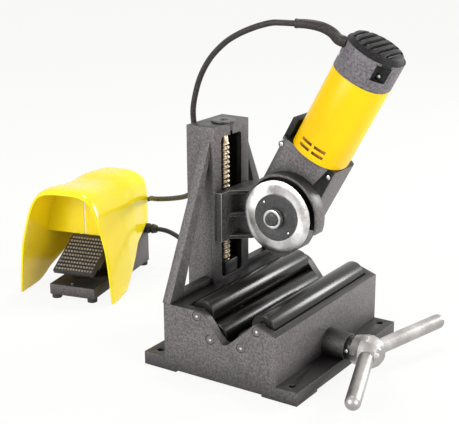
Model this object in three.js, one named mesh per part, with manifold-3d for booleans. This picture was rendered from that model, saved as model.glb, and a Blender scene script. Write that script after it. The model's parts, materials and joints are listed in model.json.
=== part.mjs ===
// Pipe cutting machine: roller base, column with feed spindle, tilted motor head, foot switch and leads.
// Millimetres, +Z up, +X towards the operator, +Y along the pipe. Origin: underside of the base, centre.
import * as THREE from 'three';
import { mergeVertices } from 'three/addons/utils/BufferGeometryUtils.js';
import Module from 'manifold-3d';

const wasm = await Module();
wasm.setup();

// Driving dimensions of the base casting
const BASE_LENGTH = 246;
const FLANGE_HALF_WIDTH = 105.5;
const FLANGE_HEIGHT = 16;
const FOOT_PAD_LENGTH = 46;
const FOOT_RELIEF = 2.5;
const BODY_BACK_X = -75.4;
const BODY_FRONT_X = 77.5;
const SHOULDER_Z = 84;
const SHOULDER_END_X = -34;
const VALLEY_X = 10.3;
const VALLEY_Z = 50.4;
const PEAK_X = 49.5;
const VALLEY_FRONT_SHARES = [0.16, 0.08];
const VALLEY_REAR_SHARES = [0.14, 0.03];
const SHOULDER_START_SHARES = [0.55, 0.2];
const SHOULDER_TURN_SHARE = 0.35;
const FRONT_TOP_Z = 74.6;
const END_PLATE = 12;
const BASE_WALL = 8;
const FLOOR_UNDER_Z = 30.5;
const FLOOR_TOP_Z = 36.5;
const REAR_BLOCK_FRONT_X = -48;
const RIB_THICKNESS = 12;
const ANCHOR_HOLE_RADIUS = 4.5;
const ANCHOR_INSET = 14;

// Support rollers, each on its own fixed axle
const ROLLER_RADIUS = 15;
const ROLLER_END_GAP = 1.5;
const ROLLER_BORE_RADIUS = 6;
const AXLE_RADIUS = 5.5;
const AXLE_HEAD_RADIUS = 4;
const ROLLER_PLACES = {
  rear_upper: { x: -28.5, z: 77.5 },
  rear_lower: { x: -10.3, z: 52.6 },
  front_lower: { x: 31.8, z: 52.2 },
  front_upper: { x: 52.6, z: 76.8 },
};

// Column casting with its two side braces
const COLUMN_BACK_X = -100;
const COLUMN_FRONT_X = -61;
const COLUMN_HALF_WIDTH = 38;
const COLUMN_TOP_Z = 278;
const COLUMN_WALL = 8;
const RAIL_THICKNESS = 6.5;
const SLOT_HALF_WIDTH = 22;
const SLOT_BOTTOM_Z = 88;
const SLOT_TOP_Z = 264;
const SLOT_CORNER = 5;
const SHELF_THICKNESS = 9;
const GEAR_WINDOW_HALF_WIDTH = 18;
const GEAR_WINDOW_TOP_Z = 50;
const BRACE_BACK_X = -77;
const BRACE_FRONT_X = -66;
const BRACE_TOP_Z = 262;
const BRACE_LEG_TOP = 9;
const BRACE_LEG_BOTTOM = 24;
const BRACE_SILL = 7;

// Feed: spindle, bevel gears, cross shaft and hand levers
const SPINDLE_X = -72;
const SPINDLE_RADIUS = 7;
const JOURNAL_RADIUS = 4.5;
const SPINDLE_BOTTOM_Z = 46;
const SPINDLE_TOP_Z = 268;
const BEARING_BLOCK_HEIGHT = 17;
const BEARING_BLOCK_HALF_WIDTH = 13;
const TOP_BEARING_RADIUS = 11;
const TOP_BEARING_FLANGE = 15;
const TOP_BEARING_RISE = 2.5;
const SHAFT_Z = 26;
const SHAFT_RADIUS = 6;
const BEVEL_TEETH = 16;
const BEVEL_PITCH_RADIUS = 11;
const BEVEL_FACE_SHARE = 0.3;
const BEVEL_TOOTH_HEIGHT = 1.7;
const TOOTH_WIDTH_SHARE = 0.3;
const BOSS_ROOT_RADIUS = 19;
const BOSS_TIP_RADIUS = 17;
const BOSS_END_X = FLANGE_HALF_WIDTH;
const COLLAR_RADIUS = 14.5;
const COLLAR_LENGTH = 8;
const HUB_RADIUS = 20.5;
const HUB_CENTRE_X = 129.7;
const LEVER_RADIUS = 9;
const LEVER_LENGTH = 118;
const LEVER_TILT = THREE.MathUtils.degToRad(18.9);
const LEVER_ROLL = THREE.MathUtils.degToRad(4.2);
const LEVER_SEAT = 13;
const HUB_BACK_SHARES = [0.86, 0.92];
const HUB_SHOULDER_SHARE = 0.55;
const HUB_NOSE = THREE.MathUtils.degToRad(64.8);
const HUB_ARC_SHARES = [-0.2, 0.1, 0.4, 0.7, 1];
const HUB_SEGMENTS = 12;
const LEVER_END_STEPS = 5;

// Carriage on the column's rails
const CARRIAGE_BOTTOM_Z = 138;
const CARRIAGE_TOP_Z = 199;
const CARRIAGE_HALF_WIDTH = 36;
const CARRIAGE_PLATE = 9;
const CARRIAGE_REACH = 26;
const RIB_COUNT = 3;
const CARRIAGE_RIB = 4.5;
const NUT_BLOCK_HEIGHT = 26;
const KEEPER_THICKNESS = 6;
const HEAD_PLATE = 8;

// Cutting head: gearbox, guard, wheel
const WHEEL_X = 17.8;
const WHEEL_Z = 178.5;
const WHEEL_PLANE_Y = -23;
const WHEEL_RADIUS = 44;
const WHEEL_THICKNESS = 3;
const WHEEL_EDGE = 7;
const FLANGE_RADIUS = 28;
const FLANGE_THICKNESS = 3;
const FLANGE_PIN_HOLE = 2.2;
const NUT_RADIUS = 11.5;
const NUT_THICKNESS = 7;
const OUTPUT_RADIUS = 7.5;
const OUTPUT_SHOULDER_RADIUS = 14;
const GUARD_RADIUS = 49.5;
const GUARD_WALL = 3;
const GUARD_BACK_Y = 3;
const GUARD_FRONT_Y = -19;
const GEARBOX_DEPTH = 58;
const GEARBOX_REAR = 42;
const GEARBOX_FRONT = 35.5;
const GEARBOX_BELOW = 50;
const GEARBOX_CORNER = 9;
const GEARBOX_LOWER_CORNER = 20;
const LUG_THICKNESS = 7.2;
const LUG_HEIGHT = 24;
const COVER_RADIUS = 21;
const COVER_THICKNESS = 6;

// Motor, leaning forward from the gearbox
const MOTOR_X = 4.4;
const MOTOR_Y = 30;
const MOTOR_Z = 173.8;
const MOTOR_LEAN = THREE.MathUtils.degToRad(28.5);
const MOTOR_SEAT = 86;
const BARREL_RADIUS = 35.6;
const BARREL_LENGTH = 107;
const BARREL_SQUARENESS = 1.6;
const CAP_LENGTH = 44;
const CAP_DOME = 9;
const CAP_SHOULDER_SHARES = [0.86, 0.35];
const CAP_CROWN_SHARE = 0.6;
const CAP_SLOTS = 6;
const CAP_SLOT_REACH_SHARE = 1.5;
const CAP_RECESS_ACROSS_SHARES = [0.55, 1.2];
const CAP_RECESS_SIDE_SHARE = 0.45;
const CAP_RECESS_RISE_SHARES = [0.3, 1.3];
const VENT_LENGTH = 15;
const VENT_HEIGHT = 3.6;
const VENT_DEPTH = 5;
const VENT_PITCH = 7.5;
const VENT_OFFSET_SHARE = 0.62;

// Foot switch
const SWITCH_X = -318.5;
const SWITCH_Y = -10.5;
const SWITCH_YAW = THREE.MathUtils.degToRad(13);
const SWITCH_HALF_WIDTH = 34.5;
const SWITCH_LENGTH = 179;
const SWITCH_FRONT = -4;
const SWITCH_RIM_Z = 21;
const SWITCH_UNDER_Z = 6;
const RUBBER_FOOT_RADIUS = 7;
const RUBBER_FOOT_INSET = 7;
const SWITCH_BLOCK_LENGTH = 93;
const SWITCH_BLOCK_TOP_Z = 64;
const PEDAL_HALF_WIDTH = 30.5;
const PEDAL_LENGTH = 72;
const PEDAL_THICKNESS = 6;
const PEDAL_FRONT_Y = 2.5;
const PEDAL_FRONT_Z = 35.3;
const PEDAL_TILT = THREE.MathUtils.degToRad(29);
const PEDAL_RIB_COUNT = 10;
const PEDAL_RIB_SHARES = { reach: 0.92, groove: 0.4, floor: 0.75 };
const PEDAL_SKIRT_SHARES = { start: 0.25, depth: 0.8, ear: 1.6 };
const PEDAL_PIN_RADIUS = 3;
const PEDAL_PIN_DROP_SHARE = 0.75;

// Hood of the foot switch: its stations are shares of its length, half width and height
const HOOD_LENGTH = 178;
const HOOD_HALF_WIDTH = 73;
const HOOD_HEIGHT = 155.5;
const HOOD_WALL = 3;
const HOOD_WEB_Y = 64;
const HOOD_WEB_Z = 75.3;
const HOOD_SLIT_X = -12;
const HOOD_SLIT_WIDTH = 2.4;
const HOOD_SLIT_TOP_Z = 127;
const HOOD_RIB_OFFSET = 17;
const HOOD_RIB_TOP_Z = 92;
const HOOD_STATION_SHARES = [
  { along: 0, centre: -0.164, half: 1, skirt: 0.005, roof: 0.965, square: 0 },
  { along: 0.034, centre: -0.164, half: 1, skirt: 0.005, roof: 0.994, square: 0 },
  { along: 0.112, centre: -0.164, half: 0.998, skirt: 0.006, roof: 1, square: 0 },
  { along: 0.258, centre: -0.164, half: 0.973, skirt: 0.019, roof: 0.981, square: 0.1 },
  { along: 0.326, centre: -0.16, half: 0.945, skirt: 0.058, roof: 0.968, square: 0.15 },
  { along: 0.393, centre: -0.155, half: 0.918, skirt: 0.116, roof: 0.96, square: 0.25 },
  { along: 0.522, centre: -0.144, half: 0.836, skirt: 0.199, roof: 0.958, square: 0.45 },
  { along: 0.601, centre: -0.13, half: 0.781, skirt: 0.277, roof: 0.972, square: 0.6 },
  { along: 0.663, centre: -0.123, half: 0.733, skirt: 0.334, roof: 0.981, square: 0.7 },
  { along: 0.843, centre: -0.082, half: 0.61, skirt: 0.389, roof: 0.977, square: 0.95 },
  { along: 0.91, centre: -0.075, half: 0.596, skirt: 0.434, roof: 0.965, square: 1 },
  { along: 0.978, centre: -0.068, half: 0.562, skirt: 0.437, roof: 0.926, square: 1 },
  { along: 1, centre: -0.068, half: 0.493, skirt: 0.444, roof: 0.862, square: 1 },
];
const HOOD_FRONT_ARCH_SHARES = [
  [1, 0], [0.97, 0.2], [0.945, 0.32], [0.905, 0.48], [0.8, 0.68],
  [0.69, 0.84], [0.555, 0.945], [0.4, 0.985], [0.2, 1],
];
const HOOD_REAR_ARCH_SHARES = [
  [1, 0], [1, 0.15], [1, 0.3], [1, 0.45], [0.99, 0.6],
  [0.96, 0.75], [0.85, 0.88], [0.62, 0.96], [0.3, 1],
];

// Leads
const CORD_DIAMETER = 7;
const CORD_SIDES = 8;
const SLEEVE_RADIUS = 6.5;
const SLEEVE_TIP_RADIUS = 5;
const SLEEVE_ANGLE = THREE.MathUtils.degToRad(-143.5);
const SLEEVE_ALONG = 223;
const SLEEVE_STEPS = 10;
const SLEEVE_SIDES = 12;
const GLAND_RADIUS = 7.5;
const GLAND_LENGTH = 18;
const GLAND_PROFILE_SHARES = [[1, 0], [1, 0.35], [0.82, 0.4], [0.82, 0.55], [1, 0.6], [0.75, 1]];
const MAINS_GLAND_INSET = 8;
const MAINS_GLAND_Z = 59;
const CONTROL_GLAND_X = -18;
const CONTROL_GLAND_Z = 38;
const COIL_X = -110;
const COIL_Y = 190;
const COIL_INNER_RADIUS = 31;
const COIL_PITCH = 8.6;
const COIL_LOOPS = 3;
const COIL_STEPS = 24;
const COIL_SIDES = 6;
const COIL_START = THREE.MathUtils.degToRad(-110);
const TIE_WIDTH = 9;
const TIE_THICKNESS = 1.6;
const PLUG_LENGTH = 34;
const PLUG_WIDTH = 32;
const PLUG_HEIGHT = 19;
const PLUG_PIN_RADIUS = 2.4;
const PLUG_PIN_LENGTH = 19;
const PLUG_NECK_SHARE = 0.7;
const PLUG_TAPER_SHARES = [0.55, 0.35];
const PLUG_PIN_SHARE = 0.56;
const PLUG_PLACE = [-149, 215, 27.9];
const PLUG_HEADING = THREE.MathUtils.degToRad(-101);

// Routes of the leads: chosen points along the visible and hidden runs
const SLEEVE_ROUTE = [
  [74.8, -0.6, 393.4],
  [68, -5, 398.6],
  [61, -9, 401.5],
  [49, -14, 403.6],
  [36.2, -18, 403.9],
];
const MOTOR_CORD_ROUTE = [
  [10.5, -24, 403.7],
  [-6.2, -25, 399.4],
  [-19, -25, 394.8],
  [-32.7, -25, 388.9],
  [-50.7, -24, 378.8],
  [-76.5, -18, 358.3],
  [-96.8, -10, 334.8],
  [-107.5, -6, 314],
  [-113.4, -5, 289],
  [-113, -3, 262],
  [-115, 2, 232],
  [-121, 14, 205],
  [-134, 30, 184],
  [-152, 46, 168],
  [-174, 60, 155],
  [-203.8, 76, 143.8],
  [-232.4, 90, 135],
  [-258.6, 104, 127.5],
  [-287.3, 130.1, 118],
  [-305.9, 154.7, 109],
  [-325, 179.5, 100],
  [-348.7, 186.8, 90],
  [-364.1, 191.4, 77],
  [-377.1, 194.5, 62],
  [-385.4, 194.7, 49],
];
const MAINS_LEAD_ROUTE = [
  [-289.8, 171.6, 56],
  [-272.2, 175.2, 48.5],
  [-250, 178, 34],
  [-226, 177, 17],
  [-202, 170, 7],
  [-174, 157.5, 4.5],
  [-150, 144.8, 4.7],
];
const PLUG_TAIL_ROUTE = [
  [-105, 249, 17],
  [-125, 247, 21.5],
  [-140, 237, 26],
];

// Shared clearances
const CLEARANCE = 0.3;
const RUNNING_GAP = 0.5;
const OVERRUN = 20;
const WELD_DISTANCE = 1e-4;
const ROUND_SEGMENTS = 36;
const ROLLER_SEGMENTS = 28;
const SMALL_SEGMENTS = 16;

const HALF_LENGTH = BASE_LENGTH / 2;
const TROUGH_HALF = HALF_LENGTH - END_PLATE;

// Colours, roughness and metalness read from the photograph
const FINISHES = {
  casting: [0x2b2b2d, 0.55, 0.3],
  blackSteel: [0x17171a, 0.3, 0.6],
  steel: [0xb9b3ad, 0.3, 0.9],
  brass: [0xa8926b, 0.35, 0.9],
  darkPlastic: [0x353337, 0.6, 0],
  yellow: [0xffd800, 0.35, 0],
  rubber: [0x1d1c1d, 0.8, 0],
};

function finish(name) {
  const [color, roughness, metalness] = FINISHES[name];
  return new THREE.MeshStandardMaterial({ color, roughness, metalness });
}

// Solids: closed meshes that can be joined and cut
function weld(geometry) {
  const bare = geometry.clone();
  bare.deleteAttribute('normal');
  bare.deleteAttribute('uv');
  const merged = mergeVertices(bare, WELD_DISTANCE);
  const source = merged.index.array;
  const triangles = [];
  for (let i = 0; i < source.length; i += 3) {
    const [a, b, c] = [source[i], source[i + 1], source[i + 2]];
    if (a !== b && b !== c && c !== a) triangles.push(a, b, c);
  }
  return { positions: new Float32Array(merged.attributes.position.array), triangles: new Uint32Array(triangles) };
}

function solid(geometry) {
  const { positions, triangles } = weld(geometry);
  return new wasm.Manifold(new wasm.Mesh({ numProp: 3, vertProperties: positions, triVerts: triangles }));
}

function toGeometry(manifold) {
  const mesh = manifold.getMesh();
  const geometry = new THREE.BufferGeometry();
  geometry.setAttribute('position', new THREE.BufferAttribute(new Float32Array(mesh.vertProperties), mesh.numProp));
  geometry.setIndex(new THREE.BufferAttribute(new Uint32Array(mesh.triVerts), 1));
  geometry.computeVertexNormals();
  return geometry;
}

function piece(name, shape, finishName) {
  const geometry = shape.isBufferGeometry ? shape : toGeometry(shape);
  const mesh = new THREE.Mesh(geometry, finish(finishName));
  mesh.name = name;
  return mesh;
}

function joined(...solids) {
  return solids.reduce((sum, next) => sum.add(next));
}

function cut(body, ...tools) {
  return tools.reduce((rest, tool) => rest.subtract(tool), body);
}

function block([x0, x1], [y0, y1], [z0, z1]) {
  const geometry = new THREE.BoxGeometry(x1 - x0, y1 - y0, z1 - z0);
  geometry.translate((x0 + x1) / 2, (y0 + y1) / 2, (z0 + z1) / 2);
  return solid(geometry);
}

function rod(axis, radius, [start, end], [u, v], segments = ROUND_SEGMENTS, endRadius = radius) {
  const geometry = new THREE.CylinderGeometry(endRadius, radius, end - start, segments);
  if (axis === 'x') geometry.rotateZ(-Math.PI / 2);
  if (axis === 'z') geometry.rotateX(Math.PI / 2);
  const middle = (start + end) / 2;
  if (axis === 'x') geometry.translate(middle, u, v);
  if (axis === 'y') geometry.translate(u, middle, v);
  if (axis === 'z') geometry.translate(u, v, middle);
  return solid(geometry);
}

function prism(axis, shape, [start, end], curveSegments = 8) {
  const geometry = new THREE.ExtrudeGeometry(shape, { depth: end - start, bevelEnabled: false, curveSegments });
  if (axis === 'y') {
    geometry.rotateX(Math.PI / 2);
    geometry.translate(0, end, 0);
  }
  if (axis === 'x') {
    geometry.rotateY(Math.PI / 2);
    geometry.rotateX(Math.PI / 2);
    geometry.translate(start, 0, 0);
  }
  if (axis === 'z') geometry.translate(0, 0, start);
  return solid(geometry);
}

function outline(points) {
  return new THREE.Shape(points.map(([x, y]) => new THREE.Vector2(x, y)));
}

function roundedRectangle([x0, x1], [y0, y1], radius) {
  const shape = new THREE.Shape();
  shape.moveTo(x0 + radius, y0);
  shape.lineTo(x1 - radius, y0);
  shape.absarc(x1 - radius, y0 + radius, radius, -Math.PI / 2, 0);
  shape.lineTo(x1, y1 - radius);
  shape.absarc(x1 - radius, y1 - radius, radius, 0, Math.PI / 2);
  shape.lineTo(x0 + radius, y1);
  shape.absarc(x0 + radius, y1 - radius, radius, Math.PI / 2, Math.PI);
  shape.lineTo(x0, y0 + radius);
  shape.absarc(x0 + radius, y0 + radius, radius, Math.PI, Math.PI * 3 / 2);
  return shape;
}

function turned(axis, profile, [u, v], segments = ROUND_SEGMENTS) {
  const geometry = new THREE.LatheGeometry(profile.map(([r, h]) => new THREE.Vector2(r, h)), segments);
  if (axis === 'x') geometry.rotateZ(-Math.PI / 2);
  if (axis === 'z') geometry.rotateX(Math.PI / 2);
  if (axis === 'x') geometry.translate(0, u, v);
  if (axis === 'y') geometry.translate(u, 0, v);
  if (axis === 'z') geometry.translate(u, v, 0);
  return solid(geometry);
}

// A round tube along a smooth curve through chosen points
function roundSection(radius, sides) {
  const shape = new THREE.Shape();
  for (let i = 0; i < sides; i += 1) {
    const angle = (i / sides) * Math.PI * 2;
    const x = radius * Math.cos(angle);
    const y = radius * Math.sin(angle);
    if (i === 0) shape.moveTo(x, y);
    else shape.lineTo(x, y);
  }
  return shape;
}

function tube(curve, radius, sides, steps) {
  const section = roundSection(radius, sides);
  const geometry = new THREE.ExtrudeGeometry(section, { steps, extrudePath: curve, bevelEnabled: false });
  return geometry;
}

function through(points) {
  return new THREE.CatmullRomCurve3(points.map(([x, y, z]) => new THREE.Vector3(x, y, z)), false, 'centripetal');
}

// A tapered round sleeve along a curve, closed at both ends
function taperedSleeve(curve, startRadius, endRadius, sides, steps) {
  const frames = curve.computeFrenetFrames(steps, false);
  const positions = [];
  const index = [];
  for (let i = 0; i <= steps; i += 1) {
    const share = i / steps;
    const centre = curve.getPointAt(share);
    const radius = startRadius + (endRadius - startRadius) * share;
    for (let j = 0; j < sides; j += 1) {
      const angle = (j / sides) * Math.PI * 2;
      const offset = frames.normals[i].clone().multiplyScalar(radius * Math.cos(angle));
      offset.addScaledVector(frames.binormals[i], radius * Math.sin(angle));
      positions.push(...centre.clone().add(offset).toArray());
    }
  }
  for (let i = 0; i < steps; i += 1) {
    for (let j = 0; j < sides; j += 1) {
      const next = (j + 1) % sides;
      const a = i * sides + j;
      const b = i * sides + next;
      index.push(a, b, b + sides, a, b + sides, a + sides);
    }
  }
  const last = steps * sides;
  for (let j = 1; j < sides - 1; j += 1) {
    index.push(0, j + 1, j);
    index.push(last, last + j, last + j + 1);
  }
  const geometry = new THREE.BufferGeometry();
  geometry.setAttribute('position', new THREE.Float32BufferAttribute(positions, 3));
  geometry.setIndex(index);
  return geometry;
}

// Base casting
function endOutline() {
  const shape = new THREE.Shape();
  const rise = SHOULDER_Z - VALLEY_Z;
  shape.moveTo(BODY_BACK_X, 0);
  shape.lineTo(BODY_FRONT_X, 0);
  shape.lineTo(BODY_FRONT_X, FRONT_TOP_Z);
  shape.lineTo(PEAK_X, SHOULDER_Z);
  const [frontAway, frontUp] = VALLEY_FRONT_SHARES;
  const [rearAway, rearUp] = VALLEY_REAR_SHARES;
  const [shoulderAway, shoulderDown] = SHOULDER_START_SHARES;
  shape.lineTo(VALLEY_X + rise * frontAway, VALLEY_Z + rise * frontUp);
  shape.quadraticCurveTo(VALLEY_X, VALLEY_Z - rise * rearUp, VALLEY_X - rise * rearAway, VALLEY_Z + rise * rearUp);
  shape.lineTo(SHOULDER_END_X + rise * shoulderAway, SHOULDER_Z - rise * shoulderDown);
  shape.quadraticCurveTo(SHOULDER_END_X + rise * SHOULDER_TURN_SHARE, SHOULDER_Z, SHOULDER_END_X, SHOULDER_Z);
  shape.lineTo(BODY_BACK_X, SHOULDER_Z);
  return shape;
}

function anchorPlaces() {
  const places = [];
  for (const sideX of [-1, 1]) {
    for (const sideY of [-1, 1]) {
      places.push([sideX * (FLANGE_HALF_WIDTH - ANCHOR_INSET), sideY * (HALF_LENGTH - ANCHOR_INSET)]);
    }
  }
  return places;
}

function baseCasting() {
  const ends = [-HALF_LENGTH, HALF_LENGTH];
  const trough = [-TROUGH_HALF, TROUGH_HALF];
  const inside = [BODY_BACK_X + BASE_WALL, BODY_FRONT_X - BASE_WALL];
  const flange = block([-FLANGE_HALF_WIDTH, FLANGE_HALF_WIDTH], ends, [0, FLANGE_HEIGHT]);
  const body = prism('y', endOutline(), ends);
  const boss = rod('x', BOSS_ROOT_RADIUS, [BODY_FRONT_X - BASE_WALL / 2, BOSS_END_X], [0, SHAFT_Z], ROUND_SEGMENTS, BOSS_TIP_RADIUS);
  const hollows = [
    block([REAR_BLOCK_FRONT_X, inside[1]], trough, [FLOOR_TOP_Z, SHOULDER_Z + OVERRUN]),
    block(inside, trough, [-OVERRUN, FLOOR_UNDER_Z]),
    block([inside[0], REAR_BLOCK_FRONT_X - BASE_WALL], trough, [FLOOR_UNDER_Z - FOOT_RELIEF, SHOULDER_Z - BASE_WALL]),
  ];
  const relief = FOOT_RELIEF;
  const pads = HALF_LENGTH - FOOT_PAD_LENGTH;
  const padsAcross = FLANGE_HALF_WIDTH - FOOT_PAD_LENGTH;
  hollows.push(block([-FLANGE_HALF_WIDTH - OVERRUN, FLANGE_HALF_WIDTH + OVERRUN], [-pads, pads], [-OVERRUN, relief]));
  hollows.push(block([-padsAcross, padsAcross], [ends[0] - OVERRUN, ends[1] + OVERRUN], [-OVERRUN, relief]));
  const columnSeat = block(
    [COLUMN_BACK_X - OVERRUN, COLUMN_FRONT_X + CLEARANCE],
    [-COLUMN_HALF_WIDTH - CLEARANCE, COLUMN_HALF_WIDTH + CLEARANCE],
    [FLANGE_HEIGHT, SHOULDER_Z + OVERRUN],
  );
  const rib = block([-RIB_THICKNESS / 2, RIB_THICKNESS / 2], [-TROUGH_HALF - CLEARANCE, TROUGH_HALF + CLEARANCE], [0, FLOOR_TOP_Z]);
  const shaftTunnel = rod('x', SHAFT_RADIUS + RUNNING_GAP, [BODY_BACK_X, BOSS_END_X + OVERRUN], [0, SHAFT_Z], SMALL_SEGMENTS);
  const gearRoom = block(
    [COLUMN_FRONT_X - CLEARANCE, REAR_BLOCK_FRONT_X - BASE_WALL + OVERRUN / 2],
    [-GEAR_WINDOW_HALF_WIDTH, GEAR_WINDOW_HALF_WIDTH],
    [FLANGE_HEIGHT - OVERRUN, GEAR_WINDOW_TOP_Z],
  );
  let casting = joined(flange, body, boss);
  casting = cut(casting, ...hollows, columnSeat);
  casting = joined(casting, rib);
  casting = cut(casting, shaftTunnel, gearRoom);
  for (const [x, y] of anchorPlaces()) {
    casting = cut(casting, rod('z', ANCHOR_HOLE_RADIUS, [-OVERRUN, FLANGE_HEIGHT + OVERRUN], [x, y], SMALL_SEGMENTS));
  }
  for (const place of Object.values(ROLLER_PLACES)) {
    const bore = rod('y', AXLE_RADIUS + CLEARANCE, [ends[0] - OVERRUN, ends[1] + OVERRUN], [place.x, place.z], SMALL_SEGMENTS);
    casting = cut(casting, bore);
  }
  return piece('base_casting', casting, 'casting');
}

// Rollers and axles
function rollers() {
  const group = new THREE.Group();
  for (const [name, place] of Object.entries(ROLLER_PLACES)) {
    const half = TROUGH_HALF - ROLLER_END_GAP;
    const sleeve = turned('y', [
      [ROLLER_BORE_RADIUS, -half],
      [ROLLER_RADIUS - ROLLER_END_GAP, -half],
      [ROLLER_RADIUS, -half + ROLLER_END_GAP],
      [ROLLER_RADIUS, half - ROLLER_END_GAP],
      [ROLLER_RADIUS - ROLLER_END_GAP, half],
      [ROLLER_BORE_RADIUS, half],
      [ROLLER_BORE_RADIUS, -half],
    ], [0, 0], ROLLER_SEGMENTS);
    const roller = piece(`roller_${name}`, sleeve, 'blackSteel');
    const axleShape = turned('y', [
      [0, -HALF_LENGTH],
      [AXLE_HEAD_RADIUS, -HALF_LENGTH],
      [AXLE_RADIUS, -HALF_LENGTH + AXLE_RADIUS - AXLE_HEAD_RADIUS],
      [AXLE_RADIUS, HALF_LENGTH - AXLE_RADIUS + AXLE_HEAD_RADIUS],
      [AXLE_HEAD_RADIUS, HALF_LENGTH],
      [0, HALF_LENGTH],
    ], [0, 0], SMALL_SEGMENTS);
    const axle = piece(`axle_${name}`, axleShape, 'steel');
    for (const mesh of [roller, axle]) {
      mesh.position.set(place.x, 0, place.z);
      group.add(mesh);
    }
  }
  return group;
}

// Column
function braceShape() {
  const foot = SHOULDER_Z + CLEARANCE;
  const outerY = HALF_LENGTH;
  const innerTopY = COLUMN_HALF_WIDTH - COLUMN_WALL / 2;
  const windowTop = BRACE_TOP_Z - BRACE_LEG_BOTTOM;
  const shape = outline([
    [innerTopY, foot],
    [outerY, foot],
    [COLUMN_HALF_WIDTH, BRACE_TOP_Z],
    [innerTopY, BRACE_TOP_Z],
  ]);
  const slope = (outerY - COLUMN_HALF_WIDTH) / (BRACE_TOP_Z - foot);
  const sill = foot + BRACE_SILL;
  const outerAt = (z) => outerY - (z - foot) * slope;
  shape.holes.push(outline([
    [COLUMN_HALF_WIDTH + CLEARANCE, sill],
    [COLUMN_HALF_WIDTH + CLEARANCE, windowTop - BRACE_LEG_TOP],
    [outerAt(windowTop) - BRACE_LEG_TOP, windowTop],
    [outerAt(sill) - BRACE_LEG_BOTTOM, sill],
  ]));
  return shape;
}

function column() {
  const width = [-COLUMN_HALF_WIDTH, COLUMN_HALF_WIDTH];
  const insideY = [-COLUMN_HALF_WIDTH + COLUMN_WALL, COLUMN_HALF_WIDTH - COLUMN_WALL];
  const insideX = [COLUMN_BACK_X + COLUMN_WALL, COLUMN_FRONT_X - RAIL_THICKNESS];
  const foot = FLANGE_HEIGHT + CLEARANCE;
  const shelfTop = SLOT_BOTTOM_Z - CLEARANCE;
  const box = block([COLUMN_BACK_X, COLUMN_FRONT_X], width, [foot, COLUMN_TOP_Z]);
  const chamber = block(insideX, insideY, [shelfTop, COLUMN_TOP_Z - COLUMN_WALL]);
  const gearChamber = block(insideX, insideY, [foot - OVERRUN, shelfTop - SHELF_THICKNESS]);
  const slotShape = roundedRectangle([-SLOT_HALF_WIDTH, SLOT_HALF_WIDTH], [SLOT_BOTTOM_Z, SLOT_TOP_Z], SLOT_CORNER);
  const slot = prism('x', slotShape, [insideX[1] - CLEARANCE, COLUMN_FRONT_X + OVERRUN]);
  const gearWindow = block(
    [insideX[1] - CLEARANCE, COLUMN_FRONT_X + OVERRUN],
    [-GEAR_WINDOW_HALF_WIDTH, GEAR_WINDOW_HALF_WIDTH],
    [foot - OVERRUN, GEAR_WINDOW_TOP_Z],
  );
  const topBore = rod('z', TOP_BEARING_RADIUS + CLEARANCE, [COLUMN_TOP_Z - OVERRUN, COLUMN_TOP_Z + OVERRUN], [SPINDLE_X, 0]);
  const shelfBore = rod('z', SPINDLE_RADIUS + RUNNING_GAP, [foot, SLOT_BOTTOM_Z + OVERRUN], [SPINDLE_X, 0], SMALL_SEGMENTS);
  const half = braceShape();
  const brace = prism('x', half, [BRACE_BACK_X, BRACE_FRONT_X]);
  const braces = joined(brace, brace.mirror([0, 1, 0]));
  const braceCore = block([BRACE_BACK_X - OVERRUN, BRACE_FRONT_X + OVERRUN], insideY, [foot, COLUMN_TOP_Z]);
  const casting = cut(joined(cut(box, chamber, gearChamber), cut(braces, braceCore)), slot, gearWindow, topBore, shelfBore);
  return piece('column', casting, 'casting');
}

// Bevel gear: its pitch cone opens towards +Z, the teeth stand on the cone
function bevelGear(name, bore) {
  const outer = BEVEL_PITCH_RADIUS;
  const inner = outer * (1 - BEVEL_FACE_SHARE);
  const root = BEVEL_TOOTH_HEIGHT / 2;
  const back = -outer - root - BEVEL_TOOTH_HEIGHT * 2;
  const bodyProfile = [
    [bore, back],
    [outer - root, back],
    [outer - root, -outer - root],
    [inner - root, -inner - root],
    [bore, -inner - root],
    [bore, back],
  ];
  let gear = turned('z', bodyProfile, [0, 0]);
  const pitchAngle = (Math.PI * 2) / BEVEL_TEETH;
  const toothHalf = Math.tan(pitchAngle * TOOTH_WIDTH_SHARE / 2);
  for (let i = 0; i < BEVEL_TEETH; i += 1) {
    const corners = [];
    for (const radius of [inner, outer]) {
      const share = radius / outer;
      const lift = (root - CLEARANCE) * share;
      const half = toothHalf * radius;
      corners.push([radius - 2 * lift, -half, -radius - 2 * lift], [radius - 2 * lift, half, -radius - 2 * lift]);
      corners.push([radius + lift, -half / 2, -radius + lift], [radius + lift, half / 2, -radius + lift]);
    }
    const tooth = hexahedron(corners);
    gear = gear.add(tooth.rotate([0, 0, THREE.MathUtils.radToDeg(pitchAngle * i)]));
  }
  const boreCut = rod('z', bore, [back - OVERRUN, OVERRUN], [0, 0], SMALL_SEGMENTS);
  return piece(name, cut(gear, boreCut), 'steel');
}

// Eight corners: four at the inner end, four at the outer end, in the order low-left, low-right, high-left, high-right
function hexahedron(corners) {
  const geometry = new THREE.BufferGeometry();
  geometry.setAttribute('position', new THREE.Float32BufferAttribute(corners.flat(), 3));
  geometry.setIndex([
    0, 1, 3, 0, 3, 2,
    4, 6, 7, 4, 7, 5,
    0, 4, 5, 0, 5, 1,
    2, 3, 7, 2, 7, 6,
    0, 2, 6, 0, 6, 4,
    1, 5, 7, 1, 7, 3,
  ]);
  const shape = solid(geometry);
  return shape.volume() > 0 ? shape : solid(flipped(geometry));
}

function flipped(geometry) {
  const copy = geometry.clone();
  copy.setIndex(Array.from(copy.index.array).reverse());
  return copy;
}

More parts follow.
